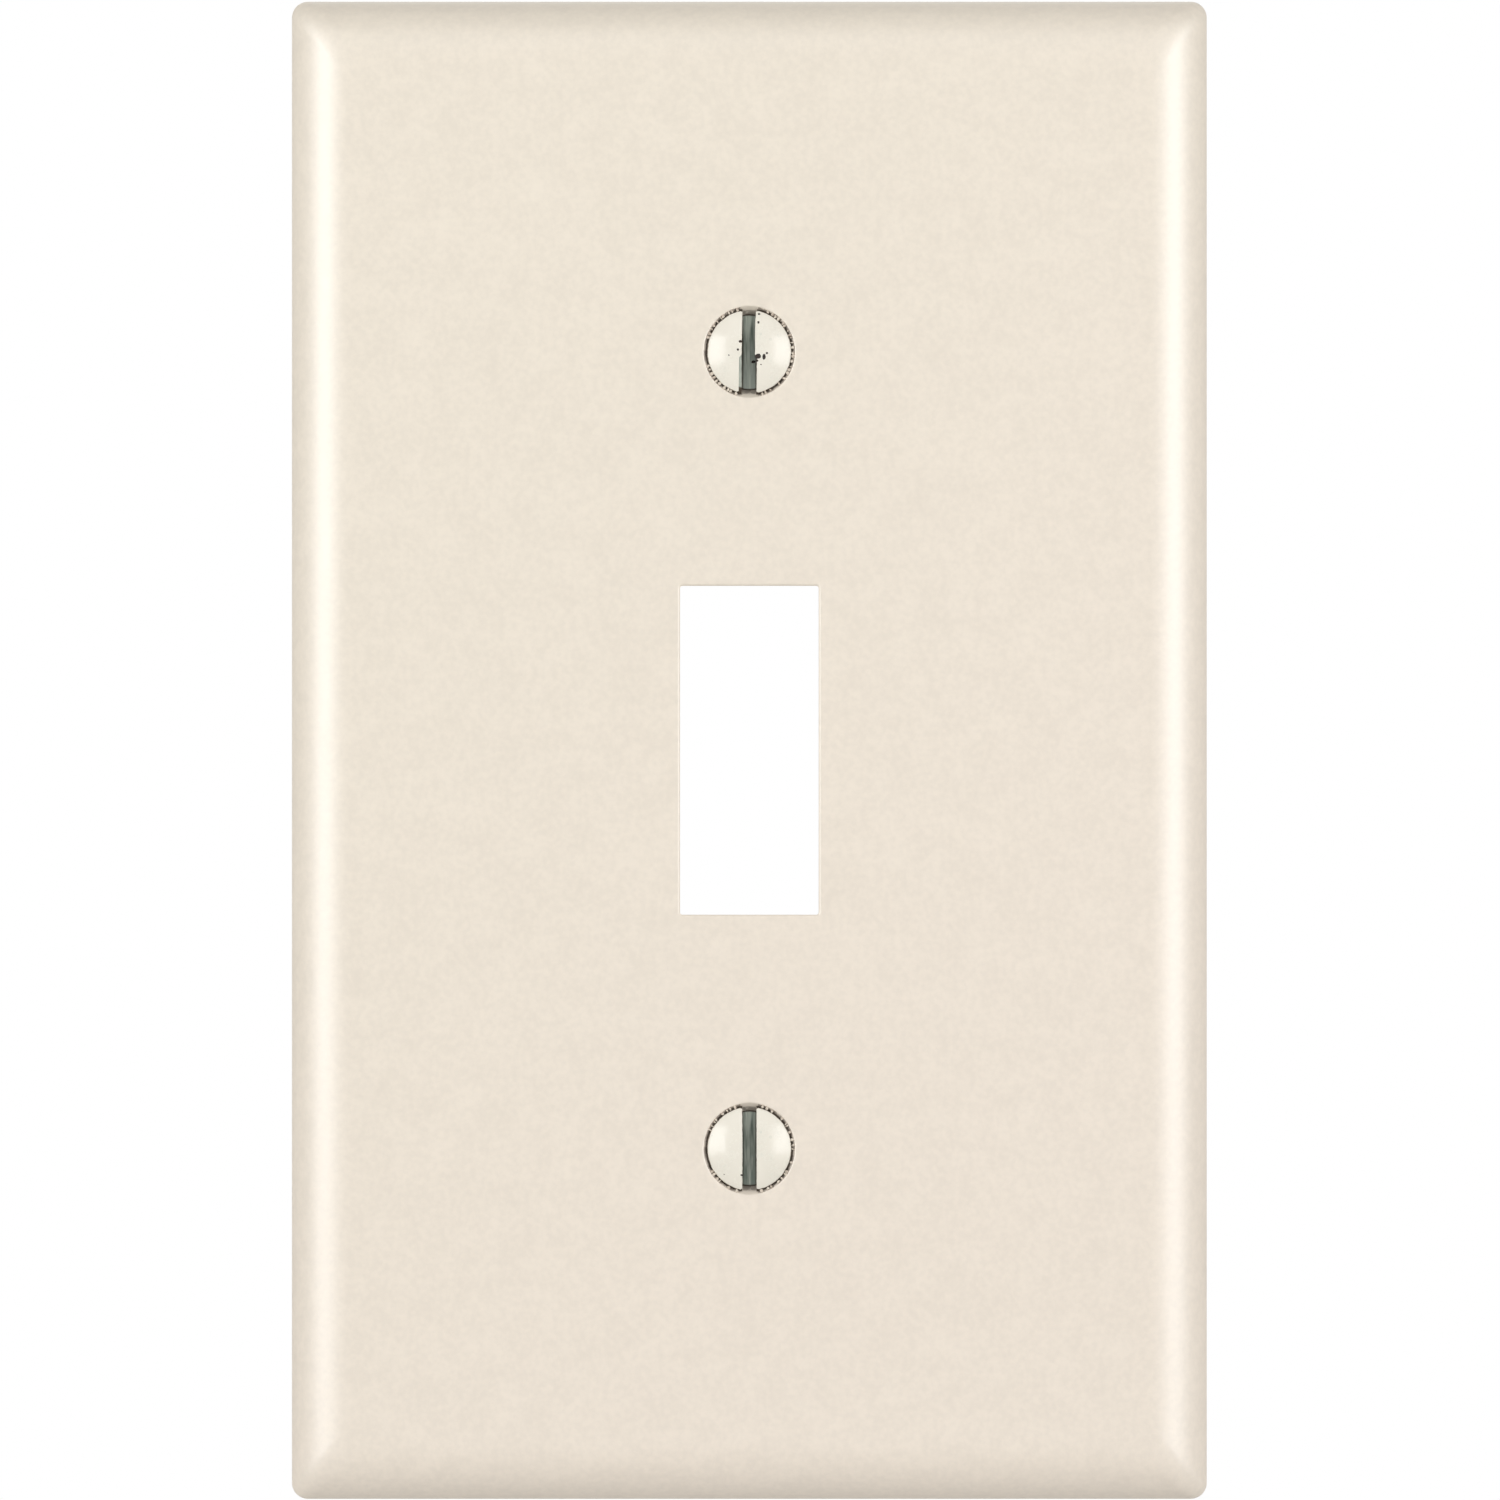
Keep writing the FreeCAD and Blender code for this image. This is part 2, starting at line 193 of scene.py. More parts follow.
class Shell:
    """A closed mesh that is built up from rings of corners, in millimetres."""

    def __init__(self) -> None:
        """Starts with no faces."""
        self.mesh = bmesh.new()

    def bridge(self, rings: list[Ring]) -> None:
        """Joins each ring to the next with a strip of quads."""
        bridge(self.mesh, rings)

    def fill(self, outer: Ring, holes: list[Ring]) -> None:
        """Fills the space inside one ring and outside others, in a plane of constant Y.

        Args:
            outer: the ring round the outside.
            holes: the rings to leave open. They may share sides with the outer ring.
        """
        depth = outer[0].y
        corners: list[Vector] = []
        sides: list[tuple[int, int]] = []
        for loop in [outer, *holes]:
            start, count = len(corners), len(loop)
            corners += [Vector((p.x, p.z)) for p in loop]
            sides += [(start + n, start + (n + 1) % count) for n in range(count)]
        places, _, faces, *_ = delaunay_2d_cdt(corners, sides, [], 0, SAME_PLACE)
        keep = []
        for face in faces:
            middle = sum((places[n] for n in face), Vector((0, 0))) / len(face)
            if inside(middle, outer) and not any(inside(middle, hole) for hole in holes):
                keep.append(face)
        made = {n: self.mesh.verts.new(Vector((places[n].x, depth, places[n].y)) * MM)
                for face in keep for n in face}
        for face in keep:
            self.mesh.faces.new([made[n] for n in face])

    def finish(self, name: str, sharp: float) -> bpy.types.Object:
        """Closes the mesh and makes an object of it.

        Args:
            name: the object's name.
            sharp: the angle in degrees past which an edge stays sharp.

        Returns:
            The object, shaded smooth.
        """
        bmesh.ops.remove_doubles(self.mesh, verts=self.mesh.verts, dist=MERGE)
        bmesh.ops.dissolve_degenerate(self.mesh, edges=self.mesh.edges, dist=MERGE)
        bmesh.ops.recalc_face_normals(self.mesh, faces=self.mesh.faces)
        return smooth(link_mesh(name, self.mesh), sharp)


# ------------------------------------------------------------------ outlines in plan


@dataclass(frozen=True)
class Edge:
    """One corner of an outline: its place, the way outwards, and how much of it is on the rim."""

    place: Plan
    out: Plan
    rim: float = 0.0

    def at(self, depth: float, grow: float = 0.0) -> Vector:
        """The corner moved outwards by grow, at a depth on the Y axis."""
        return Vector((self.place[0] + self.out[0] * grow, depth, self.place[1] + self.out[1] * grow))


@dataclass(frozen=True)
class Box:
    """A rounded rectangle in plan.

    rim gives the share of the left, right, bottom and top sides that is the plate's rim, 0 or 1.
    radii gives the four corners' radii, counter-clockwise from the upper right.
    """

    left: float
    right: float
    bottom: float
    top: float
    radii: tuple[float, float, float, float]
    rim: tuple[float, float, float, float] = (0.0, 0.0, 0.0, 0.0)
    steps: int = 8

    def edges(self) -> list[Edge]:
        """Lays out the outline's corners.

        Returns:
            The corners, counter-clockwise as seen from the front.
        """
        left_rim, right_rim, bottom_rim, top_rim = self.rim
        corners = (
            (self.right, self.top, 1, 1, right_rim, top_rim),
            (self.left, self.top, -1, 1, top_rim, left_rim),
            (self.left, self.bottom, -1, -1, left_rim, bottom_rim),
            (self.right, self.bottom, 1, -1, bottom_rim, right_rim),
        )
        result = []
        for quarter, (x, z, way_x, way_z, first, last) in enumerate(corners):
            radius = self.radii[quarter]
            centre = (x - way_x * radius, z - way_z * radius)
            for step in range(self.steps + 1):
                share = step / self.steps
                angle = (quarter + share) * math.pi / 2
                out = (math.cos(angle), math.sin(angle))
                place = (centre[0] + radius * out[0], centre[1] + radius * out[1])
                result.append(Edge(place, out, first + (last - first) * share))
        return result

    @staticmethod
    def centred(width: float, height: float, radius: float, steps: int = 8) -> "Box":
        """A box about the plate's middle."""
        return Box(-width / 2, width / 2, -height / 2, height / 2, (radius,) * 4, steps=steps)


def circle(centre: Plan, radius: float, steps: int = 64) -> list[Edge]:
    """Lays out a circle in plan.

    Args:
        centre: its middle.
        radius: its radius.
        steps: how many corners it has.

    Returns:
        The corners.
    """
    result = []
    for step in range(steps):
        angle = 2 * math.pi * step / steps
        out = (math.cos(angle), math.sin(angle))
        result.append(Edge((centre[0] + radius * out[0], centre[1] + radius * out[1]), out))
    return result


def ring(edges: list[Edge], depth: float, grow: float = 0.0) -> Ring:
    """An outline's corners at one depth, moved outwards by grow."""
    return [edge.at(depth, grow) for edge in edges]


# ------------------------------------------------------------------ node trees


FLOAT = "NodeSocketFloat"
VECTOR = "NodeSocketVector"
GEOMETRY = "NodeSocketGeometry"
INTEGER = "NodeSocketInt"
MATERIAL = "NodeSocketMaterial"

MOST = (0.3, 0.7)  # between which most of a noise's values lie

Socket = bpy.types.NodeSocket
Colour = tuple[float, float, float]


class Graph:
    """Adds and wires nodes in a shader or geometry tree."""

    def __init__(self, tree: bpy.types.NodeTree) -> None:
        """Takes the tree to fill."""
        self.tree = tree

    def wire(self, node: bpy.types.Node, inputs: dict) -> None:
        """Sets a node's inputs.

        Args:
            node: the node.
            inputs: values or output sockets, by the input's name or number.
        """
        for key, value in inputs.items():
            if isinstance(value, Socket):
                self.tree.links.new(value, node.inputs[key])
            else:
                node.inputs[key].default_value = value

    def add(self, kind: str, inputs: dict | None = None, **settings: object) -> bpy.types.Node:
        """Adds one node.

        Args:
            kind: the node's type name.
            inputs: values or output sockets, by the input's name or number.
            settings: the node's own properties.

        Returns:
            The node.
        """
        node = self.tree.nodes.new(kind)
        for key, value in settings.items():
            setattr(node, key, value)
        self.wire(node, inputs or {})
        return node

    def math(self, operation: str, *values: object, clamp: bool = False) -> Socket:
        """Adds a Math node on values or sockets and gives its output."""
        numbered = dict(enumerate(values))
        return self.add("ShaderNodeMath", numbered, operation=operation, use_clamp=clamp).outputs[0]

    def vector(self, operation: str, first: object, second: object) -> Socket:
        """Adds a Vector Math node on two vectors and gives its output."""
        return self.add("ShaderNodeVectorMath", {0: first, 1: second}, operation=operation).outputs[0]

    def parts(self, vector: Socket) -> list[Socket]:
        """Takes a vector apart into X, Y and Z."""
        return list(self.add("ShaderNodeSeparateXYZ", {0: vector}).outputs)

    def joined(self, *parts: object) -> Socket:
        """Makes a vector of X, Y and Z."""
        return self.add("ShaderNodeCombineXYZ", dict(enumerate(parts))).outputs[0]

    def noise(self, vector: Socket, scale: object, detail: float, roughness: float = 0.5) -> Socket:
        """Adds smooth noise and gives its value."""
        inputs = {"Vector": vector, "Scale": scale, "Detail": detail, "Roughness": roughness}
        return self.add("ShaderNodeTexNoise", inputs).outputs[0]

    def bump(self, height: Socket, strength: float, distance: float) -> Socket:
        """Gives a normal that a height tilts, over a distance in millimetres."""
        inputs = {"Height": height, "Strength": strength, "Distance": distance * MM}
        return self.add("ShaderNodeBump", inputs).outputs[0]

    def mix(self, factor: object, first: object, second: object, blend: str = "MIX") -> Socket:
        """Mixes two colours.

        Args:
            factor: the share of the second colour.
            first: a colour, or a socket that gives one.
            second: the same.
            blend: the way of mixing.

        Returns:
            The mixed colour.
        """
        inputs = {0: factor}
        for number, colour in ((6, first), (7, second)):
            inputs[number] = (*colour, 1.0) if isinstance(colour, tuple) else colour
        return self.add("ShaderNodeMix", inputs, data_type="RGBA", blend_type=blend).outputs[2]

    def spread(self, value: object, low: float, high: float, to_low: float, to_high: float) -> Socket:
        """Maps a range of values onto another, smoothly and with its ends held."""
        inputs = dict(enumerate((value, low, high, to_low, to_high)))
        return self.add("ShaderNodeMapRange", inputs, interpolation_type="SMOOTHSTEP").outputs[0]


class Group(Graph):
    """A node group with named inputs and one output."""

    def __init__(self, name: str, kind: str, inputs: dict, output: str, output_type: str) -> None:
        """Starts the group.

        Args:
            name: the group's name.
            kind: ShaderNodeTree or GeometryNodeTree.
            inputs: socket type and default value by input name.
            output: the output's name.
            output_type: the output's socket type.
        """
        super().__init__(bpy.data.node_groups.new(name, kind))
        for label, (socket_type, default) in inputs.items():
            socket = self.tree.interface.new_socket(label, in_out="INPUT", socket_type=socket_type)
            if default is not None:
                socket.default_value = default
        self.tree.interface.new_socket(output, in_out="OUTPUT", socket_type=output_type)
        source = self.tree.nodes.new("NodeGroupInput")
        self.given = {label: source.outputs[label] for label in inputs}
        self.result = self.tree.nodes.new("NodeGroupOutput").inputs[output]

    def give(self, value: Socket) -> bpy.types.NodeTree:
        """Wires the output and gives the group's tree."""
        self.tree.links.new(value, self.result)
        return self.tree

    def give_painted(self, geometry: Socket) -> bpy.types.NodeTree:
        """Gives a geometry, in the material that comes in."""
        wired = {"Geometry": geometry, "Material": self.given["Material"]}
        return self.give(self.add("GeometryNodeSetMaterial", wired).outputs[0])


class Effects:
    """The surface effects that more than one finish uses, each one a shader node group."""

    def __init__(self) -> None:
        """Builds every group once."""
        self.mottle = self._mottle()
        self.specks = self._specks()
        self.gap_shade_and_grime = self._gap_shade_and_grime()

    @staticmethod
    def _mottle() -> bpy.types.NodeTree:
        """Makes soft patches with fine grain in them, from 0 to 1 about a middle of 0.5.

        Returns:
            The group's tree.
        """
        inputs = {"Vector": (VECTOR, None), "Patch Size": (FLOAT, 6.0), "Grain Size": (FLOAT, 0.5),
                  "Grain Share": (FLOAT, 0.5)}
        group = Group("mottle", "ShaderNodeTree", inputs, "Value", FLOAT)
        place = group.given["Vector"]
        scales = [group.math("DIVIDE", 1.0, group.given[label]) for label in ("Patch Size", "Grain Size")]
        patches, grain = (group.noise(place, scale, 3.0, 0.55) for scale in scales)
        share = {0: group.given["Grain Share"], 2: patches, 3: grain}
        return group.give(group.add("ShaderNodeMix", share).outputs[0])

    @staticmethod
    def _specks() -> bpy.types.NodeTree:
        """Makes sparse round specks, 1 in a speck and 0 outside.

        Returns:
            The group's tree.
        """
        inputs = {"Vector": (VECTOR, None), "Spacing": (FLOAT, 5.0), "Radius": (FLOAT, 0.1),
                  "Share": (FLOAT, 0.3)}
        group = Group("specks", "ShaderNodeTree", inputs, "Mask", FLOAT)
        given = group.given
        scale = group.math("DIVIDE", 1.0, given["Spacing"])
        cells = group.add("ShaderNodeTexVoronoi", {"Vector": given["Vector"], "Scale": scale})
        distance = group.math("MULTIPLY", cells.outputs["Distance"], given["Spacing"])
        chance = group.add("ShaderNodeSeparateColor", {0: cells.outputs["Color"]})
        size = group.math("MULTIPLY", given["Radius"], chance.outputs[1])
        near = group.math("LESS_THAN", distance, size)
        chosen = group.math("LESS_THAN", chance.outputs[0], given["Share"])
        return group.give(group.math("MULTIPLY", near, chosen))

    @staticmethod
    def _gap_shade_and_grime() -> bpy.types.NodeTree:
        """Makes a ring of painted shade and dirt about the Y axis, broken up along its length.

        Returns:
            The group's tree.
        """
        inputs = {"Vector": (VECTOR, None), "Inner": (FLOAT, 3.1), "Outer": (FLOAT, 3.4),
                  "Soft": (FLOAT, 0.06), "Break Size": (FLOAT, 0.5), "Break Share": (FLOAT, 0.4)}
        group = Group("gap_shade_and_grime", "ShaderNodeTree", inputs, "Mask", FLOAT)
        given = group.given
        across, _, up = group.parts(given["Vector"])
        flat = group.math("ADD", group.math("POWER", across, 2.0), group.math("POWER", up, 2.0))
        radius = group.math("SQRT", flat)
        past = group.math("DIVIDE", group.math("SUBTRACT", radius, given["Inner"]), given["Soft"])
        short = group.math("DIVIDE", group.math("SUBTRACT", given["Outer"], radius), given["Soft"])
        band = group.math("MINIMUM", past, short, clamp=True)
        broken = group.noise(given["Vector"], group.math("DIVIDE", 1.0, given["Break Size"]), 2.0)
        over = group.math("SUBTRACT", broken, group.math("MULTIPLY", given["Break Share"], 0.9))
        kept = group.spread(over, 0.0, 0.14, 0.25, 1.0)
        return group.give(group.math("MULTIPLY", band, kept))


@dataclass(frozen=True)
class Mottle:
    """A mottle's patch and grain sizes in millimetres, and the share of grain."""

    patch: float
    grain: float
    share: float


@dataclass(frozen=True)
class Specks:
    """The spacing and largest radius of specks in millimetres, and the share of places with one."""

    spacing: float
    radius: float
    share: float = 0.3


@dataclass(frozen=True)
class ShadeGrimeRing:
    """A ring of painted shade and dirt: its radii and soft edge in millimetres, and the share that is
    broken away.
    """

    inner: float
    outer: float
    soft: float
    broken: float = 0.4


class Surface(Graph):
    """A material that reads Object coordinates in millimetres."""

    def __init__(self, name: str, slot: Slot, effects: Effects, centre: Plan = (0.0, 0.0)) -> None:
        """Starts the material.

        Args:
            name: the material's name.
            slot: the record's slot, kept as a note on the material.
            effects: the shared node groups.
            centre: X and Z that become 0, to centre a pattern on a piece.
        """
        self.material = bpy.data.materials.new(name)
        self.material.use_nodes = True
        self.material["record_slot"] = slot.value
        super().__init__(self.material.node_tree)
        self.effects = effects
        place = self.add("ShaderNodeTexCoord").outputs["Object"]
        inputs = {"Vector": place, "Scale": (1 / MM,) * 3, "Location": (-centre[0], 0, -centre[1])}
        self.place = self.add("ShaderNodeMapping", inputs).outputs[0]

    def use(self, tree: bpy.types.NodeTree, inputs: dict, place: Socket | None = None) -> Socket:
        """Uses a shared node group, at the surface's own place unless another is given."""
        wired = {"Vector": self.place if place is None else place, **inputs}
        return self.add("ShaderNodeGroup", wired, node_tree=tree).outputs[0]

    def mottle(self, sizes: Mottle) -> Socket:
        """Adds mottle and gives its value."""
        inputs = {"Patch Size": sizes.patch, "Grain Size": sizes.grain, "Grain Share": sizes.share}
        return self.use(self.effects.mottle, inputs)

    def specks(self, sizes: Specks) -> Socket:
        """Adds specks and gives their mask."""
        inputs = {"Spacing": sizes.spacing, "Radius": sizes.radius, "Share": sizes.share}
        return self.use(self.effects.specks, inputs)

    def shade_grime_ring(self, ring_sizes: ShadeGrimeRing, place: Socket | None = None) -> Socket:
        """Adds a ring of painted shade and dirt and gives its mask.

        Args:
            ring_sizes: the ring.
            place: coordinates centred on the ring, if not the surface's own.

        Returns:
            The mask.
        """
        inputs = {"Inner": ring_sizes.inner, "Outer": ring_sizes.outer, "Soft": ring_sizes.soft,
                  "Break Share": ring_sizes.broken}
        return self.use(self.effects.gap_shade_and_grime, inputs, place)

    def finish(self, inputs: dict) -> bpy.types.Material:
        """Wires the Principled node's inputs and gives the material."""
        self.wire(self.tree.nodes["Principled BSDF"], inputs)
        return self.material


# ------------------------------------------------------------------ finishes


@dataclass(frozen=True)
class AlmondPlastic:
    """The plate's satin plastic, with faint mottle, a few dark specks, and painted shade with dirt in its
    countersinks round the screws' heads.
    """

    yellower: Colour = (0.795, 0.716, 0.597)
    pinker: Colour = (0.808, 0.716, 0.608)
    speck: Colour = (0.30, 0.25, 0.20)
    # painted shade with dirt: the colour of the dark ring round each head and of the countersink's throat
    shade_and_grime: Colour = (0.20, 0.155, 0.12)
    roughness: Plan = (0.44, 0.53)
    refraction: float = 1.95
    drift_span: float = 60.0
    mottle: Mottle = Mottle(1.7, 0.5, 0.65)
    shades: Plan = (0.954, 1.036)
    specks: Specks = Specks(6.0, 0.16)
    speck_strength: float = 0.55
    throat: ShadeGrimeRing = ShadeGrimeRing(2.2, 3.24, 0.12)
    lip: ShadeGrimeRing = ShadeGrimeRing(3.0, 3.47, 0.03, 0.45)
    shade_grime_strength: float = 0.75
    shade_grime_depth: float = -3.8
    slot_end: float = 0.68
    specular: float = 1.0
    peel_scale: float = 1.6
    peel_strength: float = 0.05
    peel_depth: float = 0.2

    def material(self, effects: Effects, sinks: list[Plan]) -> bpy.types.Material:
        """Builds the material.

        Args:
            effects: the shared node groups.
            sinks: X and Z of the two countersinks that hold painted shade and dirt.

        Returns:
            The material.
        """
        made = Surface("satin_almond_plastic", Slot.PLASTIC, effects)
        x, y, z = made.parts(made.place)
        drift = made.spread(made.math("SUBTRACT", x, z), -self.drift_span, self.drift_span, 0.0, 1.0)
        colour = made.mix(drift, self.yellower, self.pinker)
        mottle = made.mottle(self.mottle)
        shade = made.spread(mottle, *MOST, *self.shades)
        colour = made.mix(1.0, colour, made.joined(shade, shade, shade), "MULTIPLY")
        spots = made.math("MULTIPLY", made.specks(self.specks), self.speck_strength)
        colour = made.mix(spots, colour, self.speck)
        # Painted shade with dirt: darkens each countersink's throat and the gap round the head's rim,
        # where the gap's shadow falls.
        in_front = made.math("LESS_THAN", y, self.shade_grime_depth)
        for across, up in sinks:
            here = made.vector("SUBTRACT", made.place, (across, 0, up))
            aside = made.math("ABSOLUTE", made.parts(here)[0])
            beside_slot = made.math("GREATER_THAN", aside, self.slot_end)
            lip = made.math("MULTIPLY", made.shade_grime_ring(self.lip, here), beside_slot)
            mask = made.math("MAXIMUM", made.shade_grime_ring(self.throat, here), lip)
            mask = made.math("MULTIPLY", made.math("MULTIPLY", mask, in_front), self.shade_grime_strength)
            colour = made.mix(mask, colour, self.shade_and_grime)
        peel = made.noise(made.place, self.peel_scale, 2.0)
        return made.finish({
            "Base Color": colour, "Roughness": made.spread(mottle, 0.25, 0.75, *self.roughness),
            "Specular IOR Level": self.specular, "IOR": self.refraction,
            "Normal": made.bump(peel, self.peel_strength, self.peel_depth),
        })


@dataclass(frozen=True)
class CreamEnamel:
    """Thick glossy enamel, brushed over a screw's head."""

    body: Colour = (0.82, 0.782, 0.69)
    thin: Colour = (0.62, 0.63, 0.55)
    roughness: Plan = (0.17, 0.32)
    coat: float = 0.28
    coat_roughness: float = 0.12
    mottle: Mottle = Mottle(1.6, 0.25, 0.4)
    thin_from: Plan = (0.5, 0.75)
    patch_thinness: float = 0.45
    specks: Specks = Specks(0.75, 0.17, 0.45)
    speck_thinness: float = 0.32
    brush_strength: float = 0.25
    brush_depth: float = 0.1

    def material(self, effects: Effects, side: Side, centre: Plan) -> bpy.types.Material:
        """Builds the material of one screw's paint.

        Args:
            effects: the shared node groups.
            side: which screw.
            centre: X and Z of the screw's axis.

        Returns:
            The material.
        """
        made = Surface(f"{side.value}_enamel", Slot.PAINT, effects, centre)
        mottle = made.mottle(self.mottle)
        spots = made.math("MULTIPLY", made.specks(self.specks), self.speck_thinness)
        patches = made.spread(mottle, *self.thin_from, 0.0, self.patch_thinness)
        colour = made.mix(made.math("ADD", spots, patches), self.body, self.thin)
        return made.finish({
            "Base Color": colour, "Roughness": made.spread(mottle, *MOST, *self.roughness),
            "Coat Weight": self.coat, "Coat Roughness": self.coat_roughness,
            "Normal": made.bump(mottle, self.brush_strength, self.brush_depth),
        })


@dataclass(frozen=True)
class Patched:
    """A dull finish in patches of two colours."""

    body: Colour
    patch: Colour
    mottle: Mottle
    contrast: Plan
    roughness: Plan

    def material(self, name: str, slot: Slot, effects: Effects) -> bpy.types.Material:
        """Builds the material.

        Args:
            name: the material's name.
            slot: the record's slot.
            effects: the shared node groups.

        Returns:
            The material.
        """
        made = Surface(name, slot, effects)
        mottle = made.mottle(self.mottle)
        return made.finish({
            "Base Color": made.mix(made.spread(mottle, *self.contrast, 0.0, 1.0), self.body, self.patch),
            "Roughness": made.spread(mottle, *MOST, *self.roughness),
        })


@dataclass(frozen=True)
class DriedPaint(Patched):
    """Old paint in crumbs, tanned by dirt."""

    body: Colour = (0.72, 0.65, 0.55)
    patch: Colour = (0.42, 0.34, 0.27)
    mottle: Mottle = Mottle(0.4, 0.1, 0.4)
    contrast: Plan = (0.4, 0.65)
    roughness: Plan = (0.5, 0.8)


@dataclass(frozen=True)
class DarkChip(Patched):
    """The near-black, slightly rusty metal that shows where a flake of paint has come off."""

    body: Colour = (0.012, 0.011, 0.010)
    patch: Colour = (0.045, 0.026, 0.018)
    mottle: Mottle = Mottle(0.3, 0.08, 0.5)
    contrast: Plan = (0.4, 0.6)
    roughness: Plan = (0.6, 0.9)


@dataclass(frozen=True)
class DullSteel:
    """Bare zinc-plated steel, gone grey-green, with cutter marks along the slot, painted shade with dirt
    in the slot's corners and at its ends, and painted shade over the dome's front.
    """

    body: Colour = (0.20, 0.245, 0.21)
    bright: Colour = (0.68, 0.74, 0.66)
    zinc: Colour = (0.33, 0.35, 0.335)
    zinc_light: Colour = (0.44, 0.455, 0.44)
    # painted shade with dirt, for the slot's corners and ends and the dome's front
    shade_and_grime: Colour = (0.080, 0.060, 0.042)
    worn: float = 0.2
    worn_run: Plan = (0.2, -1.9)
    roughness: Plan = (0.38, 0.65)
    metallic: float = 0.55
    streak_scale: tuple[float, float, float] = (5.0, 5.0, 0.35)
    streak_contrast: Plan = (0.35, 0.65)
    streak_strength: float = 0.3
    streak_depth: float = 0.05
    wall: float = 0.55
    corner_width: float = 0.17
    corner_soft: float = 0.03
    corner_shade_and_grime: float = 0.8
    dome_front: float = -5.5
    front_shade: float = 0.35
    slot_floor: float = -4.7
    ends: ShadeGrimeRing = ShadeGrimeRing(2.72, 3.6, 0.10, 0.1)

    def material(self, effects: Effects, side: Side, centre: Plan) -> bpy.types.Material:
        """Builds the material of one screw's metal.

        Args:
            effects: the shared node groups.
            side: which screw.
            centre: X and Z of the screw's axis.

        Returns:
            The material.
        """
        made = Surface(f"{side.value}_steel", Slot.STEEL, effects, centre)
        stretched = made.add("ShaderNodeMapping", {"Vector": made.place, "Scale": self.streak_scale})
        streak = made.noise(stretched.outputs[0], 1.0, 3.0)
        x, y, z = made.parts(made.place)
        cut = made.mix(made.spread(streak, *self.streak_contrast, 0.0, 1.0), self.body, self.bright)
        cut = made.mix(made.spread(z, *self.worn_run, 0.0, self.worn), cut, self.bright)
        plain = made.mix(made.spread(streak, *MOST, 0.0, 1.0), self.zinc, self.zinc_light)
        in_head = made.math("LESS_THAN", y, self.slot_floor)
        colour = made.mix(in_head, plain, cut)
        # Painted shade with dirt along the slot floor's corners, by its walls.
        aside = made.math("ABSOLUTE", x)
        from_wall = (self.wall - self.corner_width, self.wall - self.corner_soft)
        corner = made.spread(aside, *from_wall, 0.0, self.corner_shade_and_grime)
        in_slot = made.math("LESS_THAN", aside, self.wall + self.corner_soft)
        corner = made.math("MULTIPLY", made.math("MULTIPLY", corner, in_slot), in_head)
        colour = made.mix(corner, colour, self.shade_and_grime)
        # Painted shade: the dome's front is darkened so its lit steel reads as dark as the shaded slot
        # floor.
        front = made.math("LESS_THAN", y, self.dome_front)
        colour = made.mix(made.math("MULTIPLY", front, self.front_shade), colour, self.shade_and_grime)
        # Painted shade with dirt at the slot's ends, where the floor meets the gap round the head.
        colour = made.mix(made.shade_grime_ring(self.ends), colour, self.shade_and_grime)
        return made.finish({
            "Base Color": colour, "Roughness": made.spread(streak, *MOST, *self.roughness),
            "Metallic": self.metallic,
            "Normal": made.bump(streak, self.streak_strength, self.streak_depth),
        })


# ------------------------------------------------------------------ the plate


